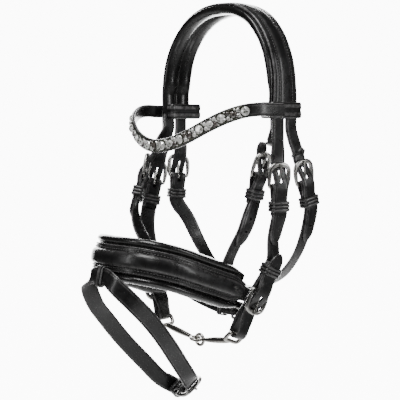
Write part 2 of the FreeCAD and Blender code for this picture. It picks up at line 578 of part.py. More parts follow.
# bit ----------------------------------------------------------------------
def torus_path(c, a, b, ra, rb, rad, r):
    """Rounded-rectangle link: half sizes ra (along a) and rb (along b), corner radius rad, wire radius r."""
    def q(x, y):
        return V(*add(c, add(mul(a, x), mul(b, y))))
    def arc(cx, cy, a0, a1):
        return Part.Arc(*[q(cx+rad*math.cos(math.radians(g)), cy+rad*math.sin(math.radians(g))) for g in (a0, (a0+a1)/2, a1)]).toShape()
    def ln(p, q2):
        return Part.LineSegment(q(*p), q(*q2)).toShape()
    e = [ln((0, -rb), (ra-rad, -rb)), arc(ra-rad, -rb+rad, -90, 0), ln((ra, -rb+rad), (ra, rb-rad)), arc(ra-rad, rb-rad, 0, 90), ln((ra-rad, rb), (-ra+rad, rb)),
         arc(-ra+rad, rb-rad, 90, 180), ln((-ra, rb-rad), (-ra, -rb+rad)), arc(-ra+rad, -rb+rad, 180, 270), ln((-ra+rad, -rb), (0, -rb))]
    w = Part.Wire(e)
    s = w.makePipeShell([Part.Wire(Part.Circle(q(0, -rb), V(*a), r).toShape())], True, False)
    if s.Volume < 0:
        s.reverse()
    return s
Pn, un, dn = bit_side(NEAR, 1)
Pf, uf, df = bit_side(FAR, -1)
EYE_L = 11.6
EYE_H = LOOP_W/2+0.9+EYE_WIRE
J = mix(add(Pn, mul(dn, EYE_L)), add(Pf, mul(df, EYE_L)), 0.49)
J = (J[0], J[1], -356.0)
CEN_R, CEN_W = 6.0, 1.7
print("bit", Pn, Pf, J)
axis = unit(sub(add(Pf, mul(df, EYE_L)), add(Pn, mul(dn, EYE_L))))
for nm, P, u, d, sg in (("near", Pn, un, dn, -1), ("far", Pf, uf, df, 1)):
    E = add(P, mul(d, EYE_L/2))
    eye = torus_path(E, u, d, EYE_H, EYE_L/2, 3.4, EYE_WIRE)
    root = add(P, mul(d, EYE_L+1.0))
    cdir = unit(sub(J, root))
    C = add(J, mul(cdir, -CEN_R*0.5))
    side = unit(cross(cdir, (0, 0, 1)))
    b = unit(cross(side, cdir)) if nm == "near" else side
    cen = Part.makeTorus(CEN_R, CEN_W, V(*C), V(*unit(cross(cdir, b))))
    end = add(C, mul(cdir, -CEN_R-0.6))
    L1 = norm(sub(end, root))
    m = mix(root, end, 0.42)
    rod = Part.makeCone(EYE_WIRE+0.3, CANNON_R, norm(sub(m, root)), V(*root), V(*sub(m, root)))
    rod2 = Part.makeCone(CANNON_R, CEN_W+0.35, norm(sub(end, m)), V(*m), V(*sub(end, m)))
    knob = Part.makeSphere(EYE_WIRE+0.7, V(*root))
    put(nm+"_mouthpiece_arm", eye.fuse([knob, rod, rod2, cen]))

for name, shape in NODES.items():
    shape.exportStep("parts/%s.step" % name)
print(len(NODES), "nodes")
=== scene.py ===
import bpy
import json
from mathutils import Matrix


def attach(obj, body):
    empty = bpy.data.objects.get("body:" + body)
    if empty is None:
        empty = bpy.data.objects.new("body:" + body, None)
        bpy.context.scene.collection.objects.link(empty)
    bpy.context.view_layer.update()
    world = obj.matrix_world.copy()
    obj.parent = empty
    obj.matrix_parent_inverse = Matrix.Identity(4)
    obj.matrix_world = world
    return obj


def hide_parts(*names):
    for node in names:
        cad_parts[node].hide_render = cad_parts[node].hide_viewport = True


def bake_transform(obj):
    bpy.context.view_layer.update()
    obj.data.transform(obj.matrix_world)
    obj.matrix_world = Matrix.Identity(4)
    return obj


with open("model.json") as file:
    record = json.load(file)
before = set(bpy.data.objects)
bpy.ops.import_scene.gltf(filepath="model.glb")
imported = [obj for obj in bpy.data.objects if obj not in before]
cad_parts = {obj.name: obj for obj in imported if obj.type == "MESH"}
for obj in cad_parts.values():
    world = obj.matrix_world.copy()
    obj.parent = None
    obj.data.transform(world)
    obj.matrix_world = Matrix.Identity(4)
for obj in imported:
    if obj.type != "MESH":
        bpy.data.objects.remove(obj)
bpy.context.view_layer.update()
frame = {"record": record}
import bpy, math, json, random
from mathutils import Vector, Matrix, noise

# ------------------------------------------------------------------ driving dimensions, mm
STRAP_W = 17.0        # cheek, throat and hanger straps
STRAP_T = 2.4
FLASH_W = 18.0
WIRE_R = 1.8          # buckle frame wire and bar
TONGUE_R = 1.3
GAP = 0.3             # air between separate pieces
FRAME_IN = 19.4       # inside width of a strap buckle
FRAME_L = 24.0        # bar to the centre of the rounded end
TIP_N = 2.6           # the rounded end stands this far out of the strap
CROWN_W = 40.0        # crown padding
CROWN_T = 10.0
CSTRAP_W = 31.0
CSTRAP_T = 2.8
PIV_Z = -121.0        # straps start to swing here, just under the browband loops
BROW_W = 14.5
BROW_T = 3.2
NOSE_PAD_W = 47.0
NOSE_PAD_T = 9.0
NOSE_W = 28.0
NOSE_T = 3.2
EYE_WIRE = 1.9        # bit eyes
CANNON_R = 3.0
LOOP_W = 13.5         # the cheekpiece narrows to this round the bit's eye
FAR_Y = -7.0          # the far leg of the crown hangs this far forward
DZ = 3.5              # everything is set down by this, so the crown's underside is at z = 0

# ------------------------------------------------------------------ vectors
def add(a, b): return (a[0]+b[0], a[1]+b[1], a[2]+b[2])
def sub(a, b): return (a[0]-b[0], a[1]-b[1], a[2]-b[2])
def mul(a, k): return (a[0]*k, a[1]*k, a[2]*k)
def dot(a, b): return a[0]*b[0]+a[1]*b[1]+a[2]*b[2]
def cross(a, b): return (a[1]*b[2]-a[2]*b[1], a[2]*b[0]-a[0]*b[2], a[0]*b[1]-a[1]*b[0])
def norm(a): return math.sqrt(dot(a, a))
def unit(a):
    l = norm(a)
    return (a[0]/l, a[1]/l, a[2]/l)
def mix(a, b, k): return (a[0]+(b[0]-a[0])*k, a[1]+(b[1]-a[1])*k, a[2]+(b[2]-a[2])*k)

class Frame:
    """Axes of a buckle: o = bar centre, v towards the tongue's tip, n outward, u across the strap."""
    def __init__(s, o, v, n):
        s.o = o
        s.v = unit(v)
        s.u = unit(cross(s.v, n))
        s.n = cross(s.u, s.v)
    def p(s, v, n, u=0.0):
        return add(s.o, add(mul(s.v, v), add(mul(s.n, n), mul(s.u, u))))

def spline(st, step=4.0):
    """Centripetal Catmull-Rom through stations (point, width direction) -> [(point, width, tangent, normal)]."""
    P = [s[0] for s in st]
    W = [unit(s[1]) for s in st]
    n = len(P)
    Q = [sub(mul(P[0], 2), P[1])]+P+[sub(mul(P[-1], 2), P[-2])]
    out = []
    for i in range(1, n):
        p0, p1, p2, p3 = Q[i-1], Q[i], Q[i+1], Q[i+2]
        t0 = 0.0
        t1 = t0+max(norm(sub(p1, p0)), 1e-6)**0.5
        t2 = t1+max(norm(sub(p2, p1)), 1e-6)**0.5
        t3 = t2+max(norm(sub(p3, p2)), 1e-6)**0.5
        k = max(1, int(round(norm(sub(p2, p1))/step)))
        for j in range(k+(1 if i == n-1 else 0)):
            t = t1+(t2-t1)*j/k
            A1 = mix(p0, p1, (t-t0)/(t1-t0))
            A2 = mix(p1, p2, (t-t1)/(t2-t1))
            A3 = mix(p2, p3, (t-t2)/(t3-t2))
            B1 = mix(A1, A2, (t-t0)/(t2-t0))
            B2 = mix(A2, A3, (t-t1)/(t3-t1))
            f = j/k
            out.append((mix(B1, B2, (t-t1)/(t2-t1)), unit(mix(W[i-1], W[i], f*f*(3-2*f)))))
    return orient(out)

def orient(out):
    m = len(out)
    res = []
    for i, e in enumerate(out):
        p, w = e[0], e[1]
        t = unit(sub(out[min(m-1, i+1)][0], out[max(0, i-1)][0]))
        w = unit(sub(w, mul(t, dot(w, t))))
        res.append((p, w, t, cross(w, t)))
    return res

def shift(path, d):
    return orient([(add(e[0], mul(e[3], d)), e[1]) for e in path])

def length(path):
    return sum(norm(sub(path[i+1][0], path[i][0])) for i in range(len(path)-1))

# ------------------------------------------------------------------ routes of the straps
def fold(F, back, hold=1.25, r=3.3, side=1):
    """Leather turned round a bar: from the inner end at -back, over the bar, to the outer layer."""
    u = F.u
    st = [(F.p(-back, -hold*side), u), (F.p(-14, -1.35*side), u), (F.p(-9, -2.15*side), u), (F.p(-4.5, -2.95*side), u)]
    for a in range(-90, 91, 22):
        st.append((F.p(r*math.cos(math.radians(a)), r*math.sin(math.radians(a))*side), u))
    st += [(F.p(-4.5, 2.95*side), u), (F.p(-9, 2.15*side), u), (F.p(-14, 1.35*side), u)]
    return st

def over(F, n0=3.95):
    """A billet coming from the tongue's tip side, under the rounded end, over the fold and down to the keeper."""
    u = F.u
    return [(F.p(34, -2.1), u), (F.p(25, TIP_N-WIRE_R-GAP-STRAP_T/2-1.2), u), (F.p(18, 0.4), u), (F.p(11, 3.15), u),
            (F.p(5, 5.6), u), (F.p(0, 6.2), u), (F.p(-5, 5.75), u), (F.p(-10, 4.6), u), (F.p(-14, n0+0.15), u), (F.p(-20, n0), u), (F.p(-26, n0), u)]

YW = (0, 1, 0)
def wdir(deg):
    """Horizontal width direction of a strap whose outward face looks deg degrees round from +X (or -X) towards -Y."""
    a = math.radians(deg)
    return (math.sin(a), math.cos(a), 0.0)

NEAR = dict(
    cheek_top=Frame((87.5, -7.2, -183.5), (0.03, -0.02, 1), (0.975, -0.22, 0)),
    cheek_bit=Frame((71.0, -16.5, -295.0), (-0.25, -0.33, -0.9), (0.97, -0.10, -0.2)),
    hanger=Frame((66.6, -17.4, -171.5), (0.21, 0.10, 1), (0.94, 0.14, -0.2)),
    throat=Frame((87.5, 32.5, -180.5), (-0.02, -0.25, 1), (0.99, -0.06, 0)))
FAR = dict(
    cheek_top=Frame((-87.5, -38.0, -184.0), (0.0, 0.24, 1), (-0.93, 0.36, 0)),
    cheek_bit=Frame((-77.5, -45.8, -293.0), (0.2, 0.06, -1), (-0.96, 0.24, -0.1)),
    hanger=Frame((-76.5, -59.6, -176.0), (-0.06, 0.42, 1), (-0.74, -0.67, 0)),
    throat=Frame((-86.0, -3.5, -178.0), (-0.02, 0.10, 1), (-0.95, 0.3, 0)))

def crown_curve(off=0.0, step=4.5):
    """Arch of the padding's outer face, shifted outward by off."""
    pts = [(87, -107), (88, -92), (88.2, -76), (86.6, -57.5), (81.5, -37.5), (70.5, -16.5), (53, 2.0), (28.5, 14.0), (0, 17.5)]
    pts = pts+[(-x, z) for x, z in pts[-2::-1]]
    path = spline([((x, FAR_Y*max(0.0, -x/88.0)**1.5, z-4.0), YW) for x, z in pts], step)
    if dot(path[len(path)//2][3], (0, 0, 1)) < 0:
        path = [(p, mul(w, -1), t, mul(n, -1)) for p, w, t, n in path]
    return [(add(e[0], mul(e[3], off)), e[1], e[2], e[3]) for e in path]

BROW = [(96.5, -9, -102.0), (96.2, -24, -102.0), (94.6, -41, -101.5), (88.5, -58, -103.6), (77.5, -73, -109.5), (62, -86, -119), (43, -95, -129.5),
        (22, -100, -137.0), (0, -101.5, -140)]
BROW = BROW+[(-x, y, z) for x, y, z in BROW[-2:2:-1]]+[(-94.6, -42.5, -101.5), (-96.2, -28, -102.0), (-96.5, -9+FAR_Y, -102.0)]
def brow_path():
    path = spline([(p, (0, 0, 1)) for p in BROW], 4.0)
    if dot(path[len(path)//2][3], (0, -1, 0)) < 0:
        path = [(p, mul(w, -1), t, mul(n, -1)) for p, w, t, n in path]
    return path

NOSE = [(58, -30, -296), (61, -56, -287), (62, -88, -276), (60, -116, -266), (53, -138, -259.5), (39.5, -153.5, -255.5), (20, -162, -254), (0, -164, -254),
        (-20, -162, -254), (-39.5, -153.5, -255.5), (-53, -138, -259.5), (-60, -116, -266), (-62, -88, -276), (-61, -60, -286), (-58, -38, -293)]
def nose_path():
    path = spline([(p, (0, 0.22, 1)) for p in NOSE], 5.0)
    if dot(path[len(path)//2][3], (0, -1, 0)) < 0:
        path = [(p, mul(w, -1), t, mul(n, -1)) for p, w, t, n in path]
    return path

CHIN_F = Frame((-11.0, 17.5, -327.5), (1, 0.03, 0.0), (0, 0.98, -0.2))
THROAT_MID = [((83.5, 37.0, -236), (-0.1, 1, 0.1)), ((73, 34.5, -261), (-0.1, 1, 0.1)), ((55, 29.5, -284), (0, 1, 0)), ((32, 26, -297), (0, 1, 0)), ((8, 24, -302), (0, 1, 0)),
              ((-18, 22, -300), (0, 1, 0)), ((-41, 20, -289), (0, 1, 0)), ((-58, 18, -272), (0.1, 1, 0)), ((-70, 13.5, -252), (0.2, 0.97, 0)), ((-79.5, 7, -229), (0.3, 0.95, 0))]
HANG_N = [((48.0, -50, -288), (0.0, 0.95, 0.3)), ((47.8, -46.5, -274), (0.0, 0.95, 0.3)), ((49.5, -43.5, -262), (0.0, 0.95, 0.3)), ((55, -39, -246), (0.04, 0.96, 0.26)), ((62.5, -32, -225), (0.06, 0.96, 0.26))]
HANG_F = [((-48.4, -78, -290), (0.0, 0.98, 0.2)), ((-48.4, -78, -272), (0.0, 0.98, 0.2)), ((-48.7, -78.2, -256), (-0.05, 0.98, 0.15)), ((-54, -78.6, -244.5), (-0.15, 0.97, 0.1)),
          ((-65, -77.5, -233), (-0.28, 0.94, 0.1)), ((-76.5, -73.5, -215), (-0.5, 0.85, 0.2))]

BILLET_N = dict(cheek=(88.7, -9.5), throat=(88.7, 9.5), hanger=(82.0, -6.0))
BILLET_F = dict(cheek=(88.7, -16.6), throat=(88.7, 2.4), hanger=(82.0, -21.0))
TAIL = dict(n_cheek=34, n_throat=38, n_hanger=52, f_cheek=34, f_throat=24, f_hanger=26)

def same(u, ref):
    return u if dot(u, ref) > 0 else mul(u, -1)

def main_route(S, s, kind):
    """Strap below a top buckle, starting at its bar: list of stations after the fold."""
    F = S[kind]
    st = [(F.p(-14, 1.35), F.u), (F.p(-20, 1.25), F.u), (F.p(-27, 1.25), F.u)]
    if kind == 'cheek_top':
        if s > 0:
            st += [((80.3, -7.6, -236), same(wdir(-4), F.u))]
        else:
            st += [((-83.0, -51.4, -232), same((0.3, 0.95, 0), F.u))]
    elif kind == 'hanger':
        st += [(p, same(w, F.u)) for p, w in (HANG_N if s > 0 else HANG_F)[::-1]]
    elif kind == 'throat':
        m = THROAT_MID if s > 0 else THROAT_MID[::-1]
        st += [(p, same(w, F.u)) for p, w in m]
    return st

def billet_path(S, s, kind, tail):
    F = S[kind]
    key = 'cheek' if kind == 'cheek_top' else kind
    x, y = (BILLET_N if s > 0 else BILLET_F)[key]
    w0 = same((0, 1, 0), F.u)
    z = PIV_Z+STRAP_W/2
    st = [((s*x, y, z), w0), ((s*x, y, PIV_Z), w0)]
    if key == 'hanger':
        if s > 0:
            st += [((80.6, -7.4, -129), w0), ((77.4, -10.2, -137.5), w0)]
        else:
            st += [((-81.4, -26.5, -129), (0.12, -0.93, 0.34)), ((-79.6, -35.5, -137), (0.3, -0.8, 0.5))]
    elif key == 'throat':
        if s > 0:
            st += [((88.6, 12.6, -130.5), w0), ((88.3, 17.2, -140), w0), ((88.0, 21.6, -148.5), w0)]
        else:
            st += [((-88.6, 1.5, -133), w0)]
    else:
        st += [((s*x, y, -136), w0)] if s > 0 else [((-88.7, -20.6, -135), w0)]
    st = [(p, same(w, F.u)) for p, w in st]
    ov = over(F)
    st += ov[(1 if (s < 0 and key == 'hanger') else 0):-2]
    route = main_route(S, s, kind)
    if kind == 'cheek_top':
        B = S['cheek_bit']
        route += [(B.p(-36, -4.1), same(B.u, F.u)), (B.p(-28, -4.1), same(B.u, F.u))]
    low = spline(route, 4.0)
    if dot(low[2][3], F.n) < 0:
        sg = -1
    else:
        sg = 1
    off = [(add(e[0], mul(e[3], sg*(STRAP_T+GAP+0.25+min(0.5, 0.06*max(0, i-2))))), e[1]) for i, e in enumerate(low)]
    acc = 0.0
    for i in range(1, len(off)):
        acc += norm(sub(off[i][0], off[i-1][0]))
        if acc > 5.5:
            st.append((off[i][0], off[i][1]))
        if acc > 12+tail:
            break
    return spline(st, 4.0)

def strap_path(S, s, kind):
    """Whole strap hanging from a top buckle: turned end, bar, run."""
    F = S[kind]
    return spline(fold(F, 30 if kind != 'throat' else 26)[:-1]+main_route(S, s, kind), 4.0)

def cheek_path(S, s):
    F, B = S['cheek_top'], S['cheek_bit']
    bu = same(B.u, F.u)
    vc = 50.0 if s > 0 else 42.0
    st = fold(F, 30)[:-1]+main_route(S, s, 'cheek_top')
    st += [(B.p(-36, -4.1), bu), (B.p(-28, -4.1), bu), (B.p(-14, -4.25), bu), (B.p(-6, -5.6), bu), (B.p(4, -6.6), bu), (B.p(18, -7.6), bu), (B.p(vc-12, -11.4), bu), (B.p(vc-5, -12.3), bu)]
    for g in range(0, 181, 20):
        st.append((B.p(vc+7.2*math.sin(math.radians(g)), -5.2-7.2*math.cos(math.radians(g))), bu))
    st += [(B.p(vc-6, 1.4), bu), (B.p(33, -1.3), bu)]
    st += [(p, bu) for p, w in over(B)[1:]]
    st += [(B.p(-34, 3.95), bu), (B.p(-45, 3.95), bu)]
    return spline(st, 4.0)

def throat_path():
    F, G = NEAR['throat'], FAR['throat']
    a = fold(F, 26)[:-1]+main_route(NEAR, 1, 'throat')
    b = fold(G, 26)[:-1]+[(G.p(-14, 1.35), G.u), (G.p(-20, 1.25), G.u), (G.p(-27, 1.25), G.u)]
    last = a[-1][1]
    b = [(p, same(w, last)) for p, w in b[::-1]]
    return spline(a+b, 4.0)

FL = Frame((-4.0, -61.5, -404.5), (0.88, -0.25, 0.22), (0.326, 0.526, -0.707))
LOOK = (0.762, -0.639, 0.07)
NW, NN = (0, 0.2149, 0.9766), (0, -0.9766, 0.2149)     # noseband front: width and outward directions
CARRIER_N = 6.6
CF = Frame(add((0.0, -164.0, -254.0), add(mul(NW, -20.4), mul(NN, CARRIER_N))), (1, 0, 0), NN)
def flash_path():
    near = [(24.0, -174.6, -279.5), (38.0, -162.0, -297.2), (38.0, -139.4, -318.8), (37.0, -119.1, -342.3), (31.5, -97.5, -367.3), (27.5, -81.0, -387.0)]
    far = [(-19.5, -176.4, -280.5), (-27.0, -164.0, -304.5), (-33.0, -143.7, -326.1), (-35.5, -121.0, -350.5), (-34.0, -94.0, -378.0), (-29.5, -72.0, -400.5)]
    cu = same(CF.u, (0, 0, 1))
    def face(pts):
        out = []
        for i, p in enumerate(pts):
            t = unit(sub(pts[min(i+1, len(pts)-1)], pts[max(0, i-1)]))
            w = unit(cross(LOOK, t))
            if w[2] < 0:
                w = mul(w, -1)
            if i == 0:
                w = unit(add(w, (0, 0, 1.2)))
            out.append((p, w))
        return out
    u = same(FL.u, (0.07, 0.78, 0.62))
    st = [(p, same(w, u)) for p, w in fold(FL, 19, 1.3)[:-1]]+[(FL.p(-14, 1.35), u), (FL.p(-19.5, 1.0), u)]
    st += face(far)[::-1]
    st += [(CF.p(-10.0, 0.0), cu), (CF.p(-7, 0), cu), (CF.p(-3.5, 0), cu), (CF.p(0, 0), cu), (CF.p(3.5, 0), cu), (CF.p(7, 0), cu), (CF.p(9.5, 0), cu)]
    st += face(near)
    ov = over(FL)
    st += [(p, u) for p, w in ov[1:-2]]
    base = spline([(FL.p(-14, 1.35), u), (FL.p(-19.5, 1.0), u)]+face(far)[::-1][:4], 4.0)
    sg = 1 if dot(base[0][3], FL.n) > 0 else -1
    acc = 0.0
    for i in range(1, len(base)):
        acc += norm(sub(base[i][0], base[i-1][0]))
        if 3 < acc < 34:
            st.append((add(base[i][0], mul(base[i][3], sg*(STRAP_T+GAP+min(0.6, 0.03*acc)))), base[i][1]))
    return spline(st, 4.0)

def chin_main():
    F = CHIN_F
    u = same(F.u, (0, 0, 1))
    return [(F.p(-14, 1.35), u), (F.p(-20, 1.2), u), (F.p(-25, 0.9), u), ((-44.0, 4.5, -320.5), (0, 0.2, 1)), ((-50.5, -9, -312), (0.1, 0.2, 1)),
            ((-54.2, -25, -301), (0.1, 0.3, 1)), ((-54.8, -32.5, -296.5), (0.1, 0.3, 1))]

def chin_far_path():
    F = CHIN_F
    u = same(F.u, (0, 0, 1))
    return spline([(p, same(w, u)) for p, w in fold(F, 24)[:-1]]+chin_main(), 4.0)

def chin_near_path():
    F = CHIN_F
    u = same(F.u, (0, 0, 1))
    st = [((54.6, -25.5, -299), (-0.1, 0.3, 1)), ((52.4, -17, -303), (-0.1, 0.2, 1)), ((45.5, -2, -311), (0, 0.2, 1)), ((34, 9.5, -319), (0, 0.2, 1))]
    st += [(p, u) for p, w in over(F)[1:-2]]
    base = spline(chin_main(), 4.0)
    sg = 1 if dot(base[0][3], F.n) > 0 else -1
    acc = 0.0
    for i in range(1, len(base)):
        acc += norm(sub(base[i][0], base[i-1][0]))
        if 5 < acc < 30:
            st.append((add(base[i][0], mul(base[i][3], sg*(STRAP_T+GAP+min(0.5, 0.03*acc)))), base[i][1]))
    return spline(st, 4.0)

# bit: eyes hang in the leather loops of the cheekpieces
def bit_side(S, s):
    B = S['cheek_bit']
    vc = 50.0 if s > 0 else 42.0
    P = B.p(vc+3.4, -5.2)
    u = same(B.u, (0, 1, 0))
    d = unit((-0.66, -0.20, -0.72)) if s > 0 else unit((0.55, 0.05, -0.83))
    d = unit(sub(d, mul(u, dot(d, u))))
    return P, u, d

# ------------------------------------------------------------------ mesh helpers
MM = 0.001
random.seed(7)
BODY_OF = {}
for b_, l_ in frame["record"]["behaviour"]["bodies"].items():
    for n_ in l_:
        BODY_OF[n_] = b_

def refine(path, step=1.7):
    return spline([(e[0], e[1]) for e in path], step)

def arcs_of(path):
    a = [0.0]
    for i in range(1, len(path)):
        a.append(a[-1]+norm(sub(path[i][0], path[i-1][0])))
    return a

def make(name, verts, faces, attr=None, smooth=True, sharp=38.0):
    me = bpy.data.meshes.new(name)
    me.from_pydata([(v[0]*MM, v[1]*MM, (v[2]-DZ)*MM) for v in verts], [], faces)
    me.validate()
    # edge: per-point share of the lighter colour, partly rubbed wear and partly painted highlight on edges, creases and
    # ridges
    if attr is not None:
        at = me.attributes.new("edge", "FLOAT", "POINT")
        at.data.foreach_set("value", attr)
    import bmesh
    bm = bmesh.new()
    bm.from_mesh(me)
    bmesh.ops.recalc_face_normals(bm, faces=bm.faces)
    bm.to_mesh(me)
    bm.free()
    if smooth:
        me.polygons.foreach_set("use_smooth", [True]*len(me.polygons))
        me.set_sharp_from_angle(angle=math.radians(sharp))
    ob = bpy.data.objects.new(name, me)
    bpy.context.scene.collection.objects.link(ob)
    return ob

def place(ob, node, mat, nodes=None):
    """Ride the body of a CAD node and stand for it."""
    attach(ob, BODY_OF[node])
    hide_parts(*(nodes or [node]))
    ob.data.materials.append(mat)
    return ob

def extra(ob, node, mat):
    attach(ob, BODY_OF[node])
    ob.data.materials.append(mat)
    return ob

def loft(rings, closed=True, cyclic=False, caps=True, skip=None):
    """rings of points -> verts, faces. skip: set of (ring, column) faces left out."""
    n = len(rings[0])
    verts = [p for r in rings for p in r]
    faces = []
    m = len(rings)
    for i in range(m if cyclic else m-1):
        for j in range(n if closed else n-1):
            if skip and (i, j) in skip:
                continue
            a, b = i*n+j, i*n+(j+1) % n
            c, d = ((i+1) % m)*n+j, ((i+1) % m)*n+(j+1) % n
            faces.append((a, b, d, c))
    if caps and not cyclic:
        faces.append(tuple(range(n-1, -1, -1)))
        faces.append(tuple((m-1)*n+j for j in range(n)))
    return verts, faces

# outline of a strap's section: (distance from the edge, height as a share of the top, share of the lighter colour: 1 on
# rubbed edges, partly wear and partly painted highlight on edges and creases)
TOP = [(0.22, 0.52, 1.0), (0.62, 0.9, 1.0), (1.05, 1.0, 0.55), (1.5, 0.93, 0.15), (1.78, 0.62, 0.0), (2.05, 0.62, 0.0), (2.35, 0.96, 0.7), (2.9, 1.04, 0.4), (4.0, 1.06, 0.06)]
BOT = [(0.22, 0.52, 0.9), (0.62, 0.9, 0.6), (1.05, 1.0, 0.2), (4.0, 1.0, 0.0)]
SLOT_A = 1.9

def section(hw, t, crown=0.16, ridge=0.0):
    """Points (a, b, lighter share: rubbed wear and painted highlight) round a strap's section, starting at the +a edge,
    over the top, back along the underside.
    """
    k = min(1.0, hw/5.2)
    top, bot = [], []
    for d, h, e in TOP:
        top.append((hw-d*k, t/2*h+(crown if d > 2 else 0.0)*k, e))
    sa = min(SLOT_A, (hw-4.2*k)*0.55)
    top.append((sa, t/2*1.06+(crown+ridge)*k, 0.05))
    for d, h, e in BOT:
        bot.append((hw-d*k, -t/2*h, e))
    bot.append((sa, -t/2, 0.0))
    pts = [(hw, 0.0, 1.0)]+top+[(-a, b, e) for a, b, e in top[::-1]]+[(-hw, 0.0, 1.0)]+[(-a, b, e) for a, b, e in bot]+[(a, b, e) for a, b, e in bot[::-1]]
    return pts

NT = len(TOP)+1
TOP_GAP = NT               # column of the top face between the two slot lines
BOT_GAP = 2*NT+1+len(BOT)+1

def leather_strap(name, path, w, t=STRAP_T, point=0.0, slots=(), wfun=None, round_a=0.0, crown=0.16, ridge=0.0, step=1.7, flip=False, wob=0.12, tip_pow=0.6):
    """Strap with rounded, creased edges; slots are (frame, v0, v1, n0, n1) where a tongue passes through."""
    path = refine(path, step)
    if point:
        L = arcs_of(path)[-1]
        arcs = arcs_of(path)
        want = [L-x for x in (9.0, 7.0, 5.4, 4.0, 2.9, 2.0, 1.3, 0.7, 0.25)]
        out = []
        k = 0
        items = sorted([(a, None) for a in want]+[(arcs[i], i) for i in range(len(path))], key=lambda e: e[0])
        for a, i in items:
            if i is not None:
                if any(abs(a-x) < 0.5 for x in want) and i not in (0, len(path)-1):
                    continue
                out.append((path[i][0], path[i][1]))
            else:
                j = max(q for q in range(len(path)-1) if arcs[q] <= a)
                f = (a-arcs[j])/max(1e-9, arcs[j+1]-arcs[j])
                out.append((mix(path[j][0], path[j+1][0], f), mix(path[j][1], path[j+1][1], f)))
        path = orient(out)
    arcs = arcs_of(path)
    L = arcs[-1]
    rings, attr = [], []
    sg = -1 if flip else 1
    seed = random.random()*50
    for i, (p, wd, tg, n) in enumerate(path):
        s = arcs[i]
        hw = w/2
        if wfun:
            hw *= wfun(s, L)
        hw *= 1.0+0.006*math.sin(s*0.11+seed)
        if round_a and s < round_a:
            hw = min(hw, max(2.6, math.sqrt(max(0.0, round_a**2-(round_a-s)**2))))
        tt = t
        if point and L-s < point:
            x = max(0.0, (L-s)/point)
            hw = max(0.35, hw*(1-(1-x)**2.1)**tip_pow)
            tt = t*(0.72+0.28*min(1.0, (L-s)/9.0))
        q = noise.noise(Vector((s*0.045, seed, 0.0)))*wob
        r = []
        for a, b, e in section(hw, tt, crown, ridge):
            nz = noise.noise(Vector((s*0.08, a*0.12+seed, 3.1)))*0.10
            r.append(add(p, add(mul(wd, a), mul(n, (b+nz+q)*sg))))
            attr.append(e)
        rings.append(r)
    skip, walls = set(), []
    nn = len(rings[0])
    cut = set()
    for F, v0, v1, n0, n1 in slots:
        for i in range(len(path)-1):
            m = mul(add(path[i][0], path[i+1][0]), 0.5)
            dlt = sub(m, F.o)
            v, n, u = dot(dlt, F.v), dot(dlt, F.n), dot(dlt, F.u)
            if v0 <= v <= v1 and n0 <= n <= n1 and abs(u) < 8:
                cut.add(i)
    for i in cut:
        skip.add((i, TOP_GAP))
        skip.add((i, BOT_GAP))
    verts, faces = loft(rings, skip=skip)
    for i in cut:
        for col, oth in ((TOP_GAP, BOT_GAP+1), (TOP_GAP+1, BOT_GAP)):
            a, b = i*nn+col, (i+1)*nn+col
            c, d = i*nn+oth, (i+1)*nn+oth
            faces.append((a, b, d, c))
        for j, e in ((i, i-1), (i+1, i+1)):
            if e not in cut:
                faces.append((j*nn+TOP_GAP, j*nn+TOP_GAP+1, j*nn+BOT_GAP, j*nn+BOT_GAP+1))
    return make(name, verts, faces, attr), path

def tube(path, prof, cyclic=False, caps=True):
    """Sweep (a along w, b along n) outlines along a path."""
    rings = []
    for i, e in enumerate(path):
        pr = prof(i)
        rings.append([add(e[0], add(mul(e[1], a), mul(e[3], b))) for a, b in pr])
    return loft(rings, cyclic=cyclic, caps=caps)

def ellipse(ra, rb, n=14, sq=2.0):
    out = []
    for k in range(n):
        c, s = math.cos(2*math.pi*k/n), math.sin(2*math.pi*k/n)
        out.append((ra*math.copysign(abs(c)**(2/sq), c), rb*math.copysign(abs(s)**(2/sq), s)))
    return out

